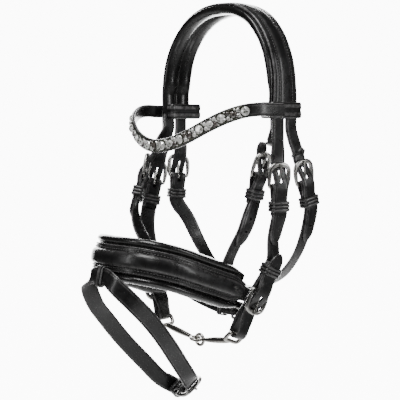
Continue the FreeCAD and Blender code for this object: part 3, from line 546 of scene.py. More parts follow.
def leather_loop(name, F, v0, v1, n0, n1, hw, wall=1.55, bands=3, corner=1.5, gap=0.15, hgt=0.85):
    """Keeper: a band of leather round a strap, its outside raised in ridges."""
    a, b0, b1 = hw+gap, n0-gap, n1+gap
    mid = (b0+b1)/2
    pts = []
    def arc(cu, cn, a0):
        for g in range(0, 91, 15):
            t = math.radians(a0+g)
            pts.append((cu+corner*math.cos(t), cn+corner*math.sin(t), math.cos(t), math.sin(t)))
    def line(u0, n0_, u1, n1_, ou, on, k):
        for i in range(1, k):
            f = i/k
            pts.append((u0+(u1-u0)*f, n0_+(n1_-n0_)*f, ou, on))
    arc(a-corner, b1-corner, 0)
    line(a-corner, b1, -a+corner, b1, 0, 1, 8)
    arc(-a+corner, b1-corner, 90)
    line(-a, b1-corner, -a, b0+corner, -1, 0, 4)
    arc(-a+corner, b0+corner, 180)
    line(-a+corner, b0, a-corner, b0, 0, -1, 8)
    arc(a-corner, b0+corner, 270)
    line(a, b0+corner, a, b1-corner, 1, 0, 4)
    W = v1-v0
    outl = []
    M = bands*8
    for i in range(M+1):
        f = i/M
        ph = (f*bands) % 1.0 if i < M else 1.0
        h = wall*0.62+hgt*max(0.0, math.sin(math.pi*ph))**0.55
        # ridge tops get the lighter colour: rubbed wear and painted highlight on the raised bands
        e = 1.0 if 0.3 < ph < 0.7 else 0.0
        outl.append((v1-W*f*1.0, h, e))
    # the loop's two edges take 0.6 of the lighter colour: rubbed wear and painted highlight
    sec = [(v0+0.25, 0.0, 0.0), (v1-0.25, 0.0, 0.0), (v1, wall*0.3, 0.6)]+outl[1:-1]+[(v0, wall*0.3, 0.6)]
    seed = random.random()*40
    rings, attr = [], []
    for k, (u, n, ou, on) in enumerate(pts):
        bow = 0.0
        if on > 0.9:
            bow = 0.45*(1-(u/a)**2)
        r = []
        for v, h, e in sec:
            hh = h*(1.0+0.10*noise.noise(Vector((u*0.2, v*0.35+seed, n*0.2))))
            r.append(F.p(v+0.15*noise.noise(Vector((u*0.12, seed, n*0.1))), n+on*(hh+bow), u+ou*hh))
            attr.append(e)
        rings.append(r)
    verts, faces = loft(rings, cyclic=True, caps=False)
    return make(name, verts, faces, attr, sharp=60)

def frame_path(F, hw, L, tip, c0=2.6, c1=8.0):
    k = math.hypot(L, tip)
    ev = F.p(L/k, tip/k, 0.0)
    ev = unit(sub(ev, F.o))
    en = unit(cross(F.u, ev))
    pts = []
    def arc(cx, cy, r, a0, a1, st=9):
        m = max(2, int(abs(a1-a0)/st))
        for i in range(m+1):
            t = math.radians(a0+(a1-a0)*i/m)
            pts.append((cx+r*math.cos(t), cy+r*math.sin(t)))
    arc(hw-c0, c0, c0, -90, 0, 12)
    for f in (0.2, 0.4, 0.6, 0.8):
        pts.append((hw+0.35*math.sin(math.pi*f), c0+(k-c1-c0)*f))
    arc(hw-c1, k-c1, c1, 0, 90)
    for f in (0.25, 0.5, 0.75):
        pts.append((hw-c1-(2*hw-2*c1)*f, k+0.5*math.sin(math.pi*f)))
    arc(-hw+c1, k-c1, c1, 90, 180)
    for f in (0.2, 0.4, 0.6, 0.8):
        pts.append((-hw-0.35*math.sin(math.pi*f), k-c1-(k-c1-c0)*f))
    arc(-hw+c0, c0, c0, 180, 270, 12)
    for f in (0.2, 0.4, 0.6, 0.8):
        pts.append((-hw+c0+(2*hw-2*c0)*f, 0.0))
    return pts, ev, en, k

def buckle(name, F, hw=None, L=FRAME_L, tip=TIP_N):
    hw = (FRAME_IN/2+WIRE_R) if hw is None else hw
    pts, ev, en, k = frame_path(F, hw, L, tip)
    rings = []
    m = len(pts)
    for i in range(m):
        x, y = pts[i]
        x0, y0 = pts[i-1]
        x1, y1 = pts[(i+1) % m]
        tx, ty = x1-x0, y1-y0
        l = math.hypot(tx, ty)
        ox, oy = ty/l, -tx/l
        f = min(1.0, max(0.0, (y-2.0)/9.0))
        ra = 1.6+0.85*f
        rb = 1.65+0.4*f
        if y > k-4:
            ra += 0.18*min(1.0, (y-k+4)/4)
        c = add(F.o, add(mul(F.u, x), mul(ev, y)))
        out = add(mul(F.u, ox), mul(ev, oy))
        rings.append([add(c, add(mul(out, a), mul(en, b))) for a, b in ellipse(ra, rb, 18, 2.35)])
    verts, faces = loft(rings, cyclic=True, caps=False)
    return make(name, verts, faces, sharp=80)

def buckle_tongue(name, F, L=FRAME_L, tip=TIP_N):
    nt = tip+WIRE_R+TONGUE_R+0.42
    d = unit((L, nt, 0))
    def q(x, off):
        return (d[0]*x-d[1]*off, d[1]*x+d[0]*off)
    Lh = math.hypot(L, nt)
    verts, faces = [], []
    # eye round the bar
    rings = []
    for g in range(0, 360, 15):
        t = math.radians(g)
        cv, cn = 2.65*math.cos(t), 2.65*math.sin(t)
        r = []
        for a, b in ellipse(0.66, 1.75, 10, 3.0):
            r.append(F.p((2.65+a)*math.cos(t), (2.65+a)*math.sin(t), b))
        rings.append(r)
    verts, faces = loft(rings, cyclic=True, caps=False)
    rings = []
    xs = [2.6, 4.0, 6.0, 9.0, 12.0, 15.0, 18.0, 20.5, 22.5, 24.0, Lh+0.2, Lh+1.1, Lh+1.8, Lh+2.1, Lh+2.25]
    for i, x in enumerate(xs):
        f = x/Lh
        w = 1.75-0.45*min(1.0, f)
        h = 1.35-0.12*f
        off = 0.25*math.sin(math.pi*min(1.0, f))
        if x > Lh:
            e = min(0.999, (x-Lh)/2.3)
            k = math.sqrt(max(0.0, 1-e*e))
            w *= max(0.12, k)
            h *= max(0.12, k)
            off -= 0.35*e
        v, n = q(x, off)
        r = []
        for a, b in ellipse(w, h, 14, 2.3):
            r.append(F.p(v-d[1]*b, n+d[0]*b, a))
        rings.append(r)
    v2, f2 = loft(rings)
    o = len(verts)
    verts += v2
    faces += [tuple(i+o for i in f) for f in f2]
    return make(name, verts, faces, sharp=70)

def stitch_row(path, a, h, pitch=3.0, ln=2.2, r=0.42, s0=4.0, s1=None, slant=0.0, hfun=None):
    """Capsule stitches along a path at a sideways, h above its middle. Returns verts, faces."""
    arcs = arcs_of(path)
    L = arcs[-1]
    s1 = L-s0 if s1 is None else s1
    verts, faces = [], []
    s = s0
    i = 0
    while s < s1:
        while i < len(arcs)-2 and arcs[i+1] < s:
            i += 1
        f = (s-arcs[i])/max(1e-9, arcs[i+1]-arcs[i])
        p = mix(path[i][0], path[i+1][0], f)
        w = unit(mix(path[i][1], path[i+1][1], f))
        t = unit(mix(path[i][2], path[i+1][2], f))
        n = unit(mix(path[i][3], path[i+1][3], f))
        aa = a(s, L) if callable(a) else a
        hh = h(s, L) if callable(h) else h
        c = add(p, add(mul(w, aa+random.uniform(-0.06, 0.06)), mul(n, hh)))
        dr = unit(add(t, mul(w, slant)))
        sd = unit(cross(n, dr))
        o = len(verts)
        prof = [(-0.5, 0.25, -0.35), (-0.42, 0.75, 0.0), (-0.2, 1.0, 0.22), (0.0, 1.0, 0.28), (0.2, 1.0, 0.22), (0.42, 0.75, 0.0), (0.5, 0.25, -0.35)]
        for x, k, lift in prof:
            for g in range(6):
                th = math.radians(60*g)
                verts.append(add(c, add(mul(dr, x*ln), add(mul(sd, r*k*math.cos(th)), mul(n, r*k*math.sin(th)+lift*r)))))
        for q in range(len(prof)-1):
            for g in range(6):
                faces.append((o+q*6+g, o+q*6+(g+1) % 6, o+(q+1)*6+(g+1) % 6, o+(q+1)*6+g))
        faces.append(tuple(o+g for g in range(5, -1, -1)))
        faces.append(tuple(o+(len(prof)-1)*6+g for g in range(6)))
        s += pitch
    return verts, faces

def merge(parts):
    verts, faces = [], []
    for v, f in parts:
        o = len(verts)
        verts += v
        faces += [tuple(i+o for i in q) for q in f]
    return verts, faces

def punched(path, s_from_end, half_t, crown=0.16, r=1.75):
    """A punched hole near a strap's tail: a rolled rim and a flat black disc as painted shade inside the hole."""
    arcs = arcs_of(path)
    L = arcs[-1]
    s = L-s_from_end
    i = max(q for q in range(len(arcs)-1) if arcs[q] <= s)
    f = (s-arcs[i])/max(1e-9, arcs[i+1]-arcs[i])
    p, w, t, n = mix(path[i][0], path[i+1][0], f), unit(mix(path[i][1], path[i+1][1], f)), unit(mix(path[i][2], path[i+1][2], f)), unit(mix(path[i][3], path[i+1][3], f))
    rings = []
    for rr, h in ((r+0.75, -0.12), (r+0.5, 0.10), (r+0.2, 0.16), (r, 0.06), (r-0.18, -0.1), (r-0.3, -0.05)):
        rings.append([add(p, add(add(mul(w, rr*math.cos(math.radians(g))), mul(t, rr*math.sin(math.radians(g)))), mul(n, half_t+crown+h+0.14))) for g in range(0, 360, 20)])
    v, fcs = loft(rings, caps=False)
    o = len(v)
    # flat black disc just inside the rim: painted shade for the hole's depth
    v += [add(p, add(add(mul(w, (r-0.28)*math.cos(math.radians(g))), mul(t, (r-0.28)*math.sin(math.radians(g)))), mul(n, half_t+crown+0.12))) for g in range(0, 360, 20)]
    return (v[:o], fcs), (v[o:], [tuple(range(18))])

# ------------------------------------------------------------------ materials
def nodes_of(name):
    m = bpy.data.materials.new(name)
    m.use_nodes = True
    nt = m.node_tree
    b = nt.nodes["Principled BSDF"]
    return m, nt, b

def ramp(nt, fac, stops):
    r = nt.nodes.new("ShaderNodeValToRGB")
    cr = r.color_ramp
    while len(cr.elements) > 1:
        cr.elements.remove(cr.elements[0])
    cr.elements[0].position = stops[0][0]
    cr.elements[0].color = (stops[0][1],)*3+(1,) if not isinstance(stops[0][1], tuple) else stops[0][1]+(1,)
    for p, c in stops[1:]:
        e = cr.elements.new(p)
        e.color = (c,)*3+(1,) if not isinstance(c, tuple) else c+(1,)
    nt.links.new(fac, r.inputs["Fac"])
    return r.outputs["Color"]

def noise_tex(nt, co, scale, detail=3.0, rough=0.55, dist=0.0):
    t = nt.nodes.new("ShaderNodeTexNoise")
    t.inputs["Scale"].default_value = scale
    t.inputs["Detail"].default_value = detail
    t.inputs["Roughness"].default_value = rough
    t.inputs["Distortion"].default_value = dist
    nt.links.new(co, t.inputs["Vector"])
    return t.outputs["Fac"]

def mathn(nt, op, a, b=None, clamp=False):
    m = nt.nodes.new("ShaderNodeMath")
    m.operation = op
    m.use_clamp = clamp
    for i, x in enumerate((a, b)):
        if x is None:
            continue
        if isinstance(x, (int, float)):
            m.inputs[i].default_value = x
        else:
            nt.links.new(x, m.inputs[i])
    return m.outputs[0]

def leather(name, base, rubbed_highlight_col, rough, grain=1.0, coat=0.25, spec=0.5, bump=0.5):
    m, nt, b = nodes_of(name)
    tc = nt.nodes.new("ShaderNodeTexCoord")
    co = tc.outputs["Object"]
    at = nt.nodes.new("ShaderNodeAttribute")
    at.attribute_name = "edge"
    at.attribute_type = "GEOMETRY"
    big = noise_tex(nt, co, 18.0, 4.0, 0.6)
    mid = noise_tex(nt, co, 140.0, 4.0, 0.6, 0.4)
    fine = noise_tex(nt, co, 1500.0, 3.0, 0.6)
    vor = nt.nodes.new("ShaderNodeTexVoronoi")
    vor.feature = "DISTANCE_TO_EDGE"
    vor.inputs["Scale"].default_value = 1150.0/grain
    vor.inputs["Randomness"].default_value = 0.95
    nt.links.new(co, vor.inputs["Vector"])
    cell = ramp(nt, vor.outputs["Distance"], [(0.0, 0.0), (0.16, 0.75), (0.4, 1.0)])
    # colour: nearly black, cooler and warmer patches; edges and ridges painted lighter, partly rubbed wear and partly
    # painted highlight
    patch = ramp(nt, big, [(0.3, tuple(x*0.72 for x in base)), (0.7, tuple(x*1.35 for x in base))])
    wear_and_highlight_mask = mathn(nt, "MULTIPLY", at.outputs["Fac"], ramp(nt, mid, [(0.34, 0.15), (0.66, 1.0)]))
    mx = nt.nodes.new("ShaderNodeMix")
    mx.data_type = "RGBA"
    nt.links.new(wear_and_highlight_mask, mx.inputs["Factor"])
    nt.links.new(patch, mx.inputs["A"])
    mx.inputs["B"].default_value = rubbed_highlight_col+(1,)
    nt.links.new(mx.outputs["Result"], b.inputs["Base Color"])
    ro = ramp(nt, mid, [(0.25, max(0.05, rough-0.07)), (0.75, rough+0.10)])
    ro2 = mathn(nt, "ADD", ro, mathn(nt, "MULTIPLY", at.outputs["Fac"], -0.05))
    nt.links.new(ro2, b.inputs["Roughness"])
    b.inputs["Specular IOR Level"].default_value = spec
    b.inputs["Coat Weight"].default_value = coat
    b.inputs["Coat Roughness"].default_value = 0.15
    # grain, pores and long soft waves
    b1 = nt.nodes.new("ShaderNodeBump")
    b1.inputs["Strength"].default_value = 0.32*bump
    b1.inputs["Distance"].default_value = 0.00012
    nt.links.new(cell, b1.inputs["Height"])
    b2 = nt.nodes.new("ShaderNodeBump")
    b2.inputs["Strength"].default_value = 0.30*bump
    b2.inputs["Distance"].default_value = 0.0001
    nt.links.new(fine, b2.inputs["Height"])
    nt.links.new(b1.outputs["Normal"], b2.inputs["Normal"])
    b3 = nt.nodes.new("ShaderNodeBump")
    b3.inputs["Strength"].default_value = 0.45*bump
    b3.inputs["Distance"].default_value = 0.0006
    nt.links.new(mid, b3.inputs["Height"])
    nt.links.new(b2.outputs["Normal"], b3.inputs["Normal"])
    nt.links.new(b3.outputs["Normal"], b.inputs["Normal"])
    return m

def metal(name, col, rough, warm=0.0):
    m, nt, b = nodes_of(name)
    tc = nt.nodes.new("ShaderNodeTexCoord")
    co = tc.outputs["Object"]
    big = noise_tex(nt, co, 60.0, 3.0)
    mp = nt.nodes.new("ShaderNodeMapping")
    mp.inputs["Scale"].default_value = (2600.0, 300.0, 2600.0)
    nt.links.new(co, mp.inputs["Vector"])
    scr = noise_tex(nt, mp.outputs["Vector"], 1.0, 3.0, 0.65)
    b.inputs["Metallic"].default_value = 1.0
    nt.links.new(ramp(nt, big, [(0.3, tuple(x*0.93 for x in col)), (0.7, col)]), b.inputs["Base Color"])
    ro = mathn(nt, "ADD", ramp(nt, big, [(0.3, rough), (0.75, rough+0.07)]), mathn(nt, "MULTIPLY", ramp(nt, scr, [(0.62, 0.0), (0.78, 1.0)]), 0.12))
    nt.links.new(ro, b.inputs["Roughness"])
    bp_ = nt.nodes.new("ShaderNodeBump")
    bp_.inputs["Strength"].default_value = 0.12
    bp_.inputs["Distance"].default_value = 0.00008
    nt.links.new(scr, bp_.inputs["Height"])
    nt.links.new(bp_.outputs["Normal"], b.inputs["Normal"])
    return m

def crystal(name, tint_and_glint, dark, rough=0.03):
    """Cut glass on foil; base colour painted in random bright and dark cells: painted glints and painted dark
    reflections over the stone's tint.
    """
    m, nt, b = nodes_of(name)
    tc = nt.nodes.new("ShaderNodeTexCoord")
    n1 = noise_tex(nt, tc.outputs["Object"], 420.0, 2.0, 0.5, 0.6)
    vor = nt.nodes.new("ShaderNodeTexVoronoi")
    vor.inputs["Scale"].default_value = 560.0
    nt.links.new(tc.outputs["Object"], vor.inputs["Vector"])
    sep = nt.nodes.new("ShaderNodeSeparateColor")
    nt.links.new(vor.outputs["Color"], sep.inputs["Color"])
    # random cells mixed with noise: which patches get the painted glint and which the painted dark reflection
    glint_cells = mathn(nt, "ADD", mathn(nt, "MULTIPLY", sep.outputs[0], 0.65), mathn(nt, "MULTIPLY", n1, 0.35))
    nt.links.new(ramp(nt, glint_cells, [(0.2, dark), (0.36, tuple(0.5*(a+c) for a, c in zip(dark, tint_and_glint))), (0.5, tint_and_glint), (0.8, tuple(min(1.0, a*1.25) for a in tint_and_glint))]), b.inputs["Base Color"])
    b.inputs["Metallic"].default_value = 0.2
    b.inputs["Roughness"].default_value = rough
    b.inputs["IOR"].default_value = 1.7
    b.inputs["Specular IOR Level"].default_value = 0.9
    b.inputs["Coat Weight"].default_value = 1.0
    b.inputs["Coat Roughness"].default_value = 0.02
    bp_ = nt.nodes.new("ShaderNodeBump")
    bp_.inputs["Strength"].default_value = 0.35
    bp_.inputs["Distance"].default_value = 0.0003
    nt.links.new(sep.outputs[1], bp_.inputs["Height"])
    nt.links.new(bp_.outputs["Normal"], b.inputs["Normal"])
    return m

# fourth argument: colour that edges, creases and ridges are painted towards, partly rubbed wear and partly painted
# highlight
M_STRAP = leather("bridle_leather", (0.0075, 0.0073, 0.0075), (0.17, 0.166, 0.167), 0.30, 1.0, 0.32)
M_PAD = leather("padded_leather", (0.008, 0.0077, 0.0078), (0.05, 0.049, 0.05), 0.26, 1.25, 0.45, bump=0.5)
# thread base lifted to dark grey: partly the thread's own tone, partly painted highlight on the stitches
M_THREAD = leather("waxed_thread_with_painted_sheen", (0.055, 0.054, 0.055), (0.12, 0.12, 0.12), 0.34, 0.6, 0.2)
# flat black disc material: painted shade inside punched holes
M_HOLE_SHADE = leather("hole_shadow", (0.002, 0.002, 0.002), (0.004, 0.004, 0.004), 0.8, 1.0, 0.0, spec=0.1)
M_METAL = metal("polished_buckle", (0.55, 0.545, 0.525), 0.23)
M_BIT = metal("polished_bit", (0.50, 0.485, 0.455), 0.19)
M_BED = metal("crystal_bed", (0.085, 0.09, 0.068), 0.34)
# clear stones: near-white tint is mostly painted glint; smoky stones: own brown tint with painted glints and painted
# dark reflections
M_CLEAR = crystal("cut_crystal", (1.0, 1.0, 0.95), (0.08, 0.085, 0.07))
M_SMOKE = crystal("smoky_crystal_glass", (0.11, 0.095, 0.085), (0.01, 0.009, 0.008))

# ------------------------------------------------------------------ crown
def smooth01(x):
    x = min(1.0, max(0.0, x))
    return x*x*(3-2*x)

def crown_prof_v(s, L):
    e = min(s, L-s)
    f = smooth01((e-27.0)/16.0)
    T = 6.4+(CROWN_T-6.4)*f
    h = CROWN_W/2
    half = [(0.0, -0.52), (0.05, -0.56), (0.11, -0.66), (0.2, -0.83), (0.32, -0.96), (0.46, -1.02), (0.6, -1.01), (0.74, -0.95), (0.86, -0.82), (0.945, -0.62), (0.985, -0.42), (0.985, -0.24),
            (0.955, -0.1), (0.9, -0.03), (0.84, -0.06), (0.8, 0.0), (0.6, 0.01), (0.3, 0.01)]
    q = [(h*a, T*b) for a, b in half]
    return q+[(-a, b) for a, b in q[::-1][:-1]]

def padded_sweep(name, path, prof, seed, amp=0.5, wave=0.35, sub=1, pin=None):
    """Stuffed piece: a swept outline, displaced with soft swelling and cross wrinkles, then subdivided."""
    arcs = arcs_of(path)
    L = arcs[-1]
    rings, attr = [], []
    for i, e in enumerate(path):
        pr = prof(arcs[i], L)
        end = min(arcs[i], L-arcs[i])
        r = []
        for a, b in pr:
            k = (-b)/10.0
            sw = noise.noise(Vector((arcs[i]*0.035+seed, a*0.05, b*0.05)))
            wr = noise.noise(Vector((arcs[i]*0.16+seed, a*0.03, 5.0)))
            wr2 = noise.noise(Vector((arcs[i]*0.5+seed, a*0.10, 9.0)))
            dd = (amp*sw+wave*wr+0.16*wr2)*min(1.0, max(0.0, k*1.6))*min(1.0, end/6.0)
            l = math.hypot(a, b+4)
            r.append(add(e[0], add(mul(e[1], a+dd*a/max(l, 1e-6)), mul(e[3], b+dd*(b+4)/max(l, 1e-6)))))
            attr.append(0.0)
        rings.append(r)
    verts, faces = loft(rings)
    ob = make(name, verts, faces, attr, sharp=75)
    md = ob.modifiers.new("soft", "SUBSURF")
    md.levels = sub
    md.render_levels = sub
    return ob

cc = refine(crown_curve(0.0, 6.0), 3.0)
if dot(cc[len(cc)//2][3], (0, 0, 1)) < 0:
    cc = [(p, mul(w, -1), t, mul(n, -1)) for p, w, t, n in cc]
ob = padded_sweep("crown_padding_v", cc, crown_prof_v, 3.3, 0.55, 0.35)
place(ob, "crown_padding", M_PAD)

def cstrap_w(s, L):
    return 1.0 if min(s, L-s) > 46 else 1.0+0.16*(1-min(s, L-s)/46.0)

def cstrap_section(hw):
    t = CSTRAP_T
    # third value: share of the lighter colour, partly rubbed wear and partly painted highlight on the edges and the
    # raised middle
    half = [(hw, -0.3, 1.0), (hw-0.2, 0.45, 1.0), (hw-0.7, 0.95, 0.8), (hw-1.3, 1.08, 0.4), (hw-1.9, 0.98, 0.1), (hw-2.2, 0.72, 0.0), (hw-2.5, 0.72, 0.0), (hw-2.9, 1.0, 0.15), (hw*0.62, 1.18, 0.05),
            (hw*0.545, 1.08, 0.0), (hw*0.50, 1.12, 0.0), (hw*0.455, 1.42, 0.25), (hw*0.40, 1.78, 0.35), (hw*0.30, 2.0, 0.1), (hw*0.15, 2.12, 0.0)]
    top = half+[(-a, b, e) for a, b, e in half[::-1]]
    bot = [(-hw+0.3, -1.1, 0.8), (-hw+1.4, -1.4, 0.2), (-hw*0.4, -1.4, 0), (hw*0.4, -1.4, 0), (hw-1.4, -1.4, 0.2), (hw-0.3, -1.1, 0.8)]
    return top+bot
cs = refine(crown_curve(GAP+CSTRAP_T/2, 5.0), 1.8)
if dot(cs[len(cs)//2][3], (0, 0, 1)) < 0:
    cs = [(p, mul(w, -1), t, mul(n, -1)) for p, w, t, n in cs]
arcs = arcs_of(cs)
Lc = arcs[-1]
rings, attr = [], []
for i, e in enumerate(cs):
    hw = CSTRAP_W/2*cstrap_w(arcs[i], Lc)
    r = []
    for a, b, ed in cstrap_section(hw):
        nz = 0.12*noise.noise(Vector((arcs[i]*0.07, a*0.1, 1.7)))
        r.append(add(e[0], add(mul(e[1], a), mul(e[3], b+nz))))
        attr.append(ed)
    rings.append(r)
v, f = loft(rings)
ob = make("crown_strap_v", v, f, attr, sharp=50)
place(ob, "crown_strap", M_STRAP)
rows = []
for sg in (1, -1):
    rows.append(stitch_row(cs, lambda s, L, sg=sg: sg*CSTRAP_W/2*cstrap_w(s, L)*0.565, 1.16, 3.2, 2.4, 0.54, 6.0))
v, f = merge(rows)
extra(make("crown_stitching", v, f, sharp=80), "crown_strap", M_THREAD)

# ------------------------------------------------------------------ browband
bp = refine(brow_path(), 1.8)
if dot(bp[len(bp)//2][3], (0, -1, 0)) < 0:
    bp = [(p, mul(w, -1), t, mul(n, -1)) for p, w, t, n in bp]
bl = arcs_of(bp)[-1]
ob, _ = leather_strap("browband_strap_v", brow_path(), 14.4, BROW_T, crown=0.05, flip=dot(refine(brow_path(), 1.8)[len(bp)//2][3], bp[len(bp)//2][3]) < 0)
place(ob, "browband_strap", M_STRAP)
barcs = arcs_of(bp)
bhalf = bl/2
def at_s(path, arcs, s):
    i = max(0, min(len(arcs)-2, max([q for q in range(len(arcs)-1) if arcs[q] <= s] or [0])))
    f = (s-arcs[i])/max(1e-9, arcs[i+1]-arcs[i])
    return (mix(path[i][0], path[i+1][0], f), unit(mix(path[i][1], path[i+1][1], f)), unit(mix(path[i][2], path[i+1][2], f)), unit(mix(path[i][3], path[i+1][3], f)))
BED0, BED1 = 44.0, 44.0
# metal bed for the stones
rings = []
s = BED0
while s <= bl-BED1:
    p, w, t, n = at_s(bp, barcs, s)
    e = min(s-BED0, bl-BED1-s)
    h = 5.6*min(1.0, math.sqrt(max(0.02, e/6.0)))
    r = []
    for a, b in [(h, 1.5), (h, 2.1), (h-0.35, 2.5), (h-0.8, 2.35), (h*0.5, 2.3), (-h*0.5, 2.3), (-h+0.8, 2.35), (-h+0.35, 2.5), (-h, 2.1), (-h, 1.5)]:
        r.append(add(p, add(mul(w, a), mul(n, b))))
    rings.append(r)
    s += 1.6
v, f = loft(rings)
extra(make("crystal_bed_v", v, f, sharp=40), "browband_strap", M_BED)

def brilliant(c, w, t, n, r, h, rot=0.0, seats=8):
    """Faceted stone: table, star and kite facets, girdle and the top of the pavilion."""
    verts, faces = [], []
    def pt(rad, ang, z):
        x, y = rad*math.cos(ang), rad*math.sin(ang)
        return add(c, add(add(mul(w, x), mul(t, y)), mul(n, z)))
    k = seats
    st = 2*math.pi/k
    tab = [pt(r*0.53, rot+i*st, h) for i in range(k)]
    mid = [pt(r*0.78, rot+(i+0.5)*st, h*0.66) for i in range(k)]
    gir = [pt(r, rot+i*st*0.5, h*0.28) for i in range(2*k)]
    gi2 = [pt(r, rot+i*st*0.5, h*0.16) for i in range(2*k)]
    bot = [pt(r*0.7, rot+i*st*0.5, -h*0.25) for i in range(2*k)]
    verts = tab+mid+gir+gi2+bot
    T, Mi, G, H, Bo = 0, k, 2*k, 4*k, 6*k
    faces.append(tuple(T+i for i in range(k)))
    for i in range(k):
        j = (i+1) % k
        faces.append((T+i, Mi+i, T+j))
        faces.append((T+i, Mi+(i-1) % k, G+2*i, Mi+i))
        faces.append((Mi+i, G+2*i, G+2*i+1))
        faces.append((Mi+i, G+2*i+1, G+(2*i+2) % (2*k)))
    for i in range(2*k):
        j = (i+1) % (2*k)
        faces.append((G+i, H+i, H+j, G+j))
        faces.append((H+i, Bo+i, Bo+j, H+j))
    faces.append(tuple(Bo+i for i in range(2*k-1, -1, -1)))
    return verts, faces

def prong(c, n, r=0.42):
    rings = []
    up_ = n
    a = unit(cross(n, (0.3, 0.2, 0.9)))
    b = cross(n, a)
    for rr, z in ((r, -0.4), (r, 0.3), (r*0.8, 0.6), (r*0.35, 0.78)):
        rings.append([add(c, add(add(mul(a, rr*math.cos(math.radians(g))), mul(b, rr*math.sin(math.radians(g)))), mul(n, z))) for g in range(0, 360, 60)])
    return loft(rings)

clear, smoke, prongs = [], [], []
rnd = random.Random(11)
def stone_at(s, off, r, kind, h=None):
    p, w, t, n = at_s(bp, barcs, s)
    tilt = unit(add(n, add(mul(w, rnd.uniform(-0.10, 0.10)), mul(t, rnd.uniform(-0.10, 0.10)))))
    w2 = unit(sub(w, mul(tilt, dot(w, tilt))))
    t2 = cross(tilt, w2)
    c = add(p, add(mul(w, off), mul(n, 2.45+(0.35 if r > 3 else 0.1))))
    (clear if kind == 'c' else smoke).append(brilliant(c, w2, t2, tilt, r, h or r*0.62, rnd.uniform(0, 0.7), 8 if r > 2 else 6))
    if r > 2.4:
        for q in range(4):
            a = math.pi/4+q*math.pi/2
            prongs.append(prong(add(c, add(mul(w2, (r+0.15)*math.cos(a)), mul(t2, (r+0.15)*math.sin(a)))), tilt))
# repeat: large clear - cluster - medium smoky/clear - cluster
period = 25.0
s = BED0+5.6
idx = 0
while s < bl-BED1-4.5:
    stone_at(s, 0.0, 4.7, 'c')
    if s+12.5 < bl-BED1-3:
        stone_at(s+12.6, 0.0, 3.55, 's' if idx % 2 == 0 else 'c', 2.4)
        stone_at(s+6.9, 2.6, 2.15, 'c')
        stone_at(s+7.2, -2.5, 2.25, 's' if idx % 2 else 'c')
        stone_at(s+8.9, 0.2, 1.25, 's')
        stone_at(s+5.6, 0.1, 1.0, 'c')
        stone_at(s+9.9, 4.2, 1.15, 'c')
        stone_at(s+9.9, -4.1, 1.15, 's')
        stone_at(s+4.9, 4.6, 0.95, 's')
        stone_at(s+4.9, -4.6, 0.95, 'c')
    if s+18.8 < bl-BED1-2:
        stone_at(s+18.1, -2.6, 2.2, 'c')
        stone_at(s+17.8, 2.5, 2.15, 's' if idx % 2 == 0 else 'c')
        stone_at(s+16.3, 0.2, 1.2, 'c')
        stone_at(s+19.6, 0.0, 1.0, 's')
        stone_at(s+15.4, 4.2, 1.1, 's')
        stone_at(s+15.4, -4.2, 1.1, 'c')
        stone_at(s+20.1, 4.6, 0.95, 'c')
        stone_at(s+20.1, -4.6, 0.95, 's')
    s += period
    idx += 1
v, f = merge(clear)
place(make("clear_crystals_v", v, f, smooth=False), "clear_crystals", M_CLEAR)
v, f = merge(smoke)
place(make("dark_crystals_v", v, f, smooth=False), "dark_crystals", M_SMOKE)
v, f = merge(prongs)
extra(make("crystal_prongs", v, f, sharp=50), "browband_strap", M_BED)

for nm, s in (("near", 1), ("far", -1)):
    LF = Frame((s*84.0, 0.0, -102.0), (0, 0, 1), (s, 0, 0))
    ob = leather_loop(nm+"_browband_loop_v", LF, -8.6, 8.6, -8.2, 7.7, CROWN_W/2+0.6, wall=2.0, bands=2, corner=2.2, gap=0.0, hgt=1.0)
    place(ob, nm+"_browband_loop", M_STRAP)

# ------------------------------------------------------------------ cheeks, hangers, throatlatch
def hole_pair(path, node, where, nm):
    rims, hole_shade_discs = [], []
    for x in where:
        a, b = punched(path, x, STRAP_T/2)
        rims.append(a)
        hole_shade_discs.append(b)
    v, f = merge(rims)
    extra(make(nm+"_rims", v, f, sharp=80), node, M_STRAP)
    # black discs: painted shade inside the holes
    v, f = merge(hole_shade_discs)
    extra(make(nm+"_hole_shade", v, f, smooth=False), node, M_HOLE_SHADE)

def outward(path, F):
    """Path oriented so its normal points out of the buckle."""
    best = min(range(len(path)), key=lambda i: norm(sub(path[i][0], F.p(-20, 4))))
    return dot(path[best][3], F.n) > 0

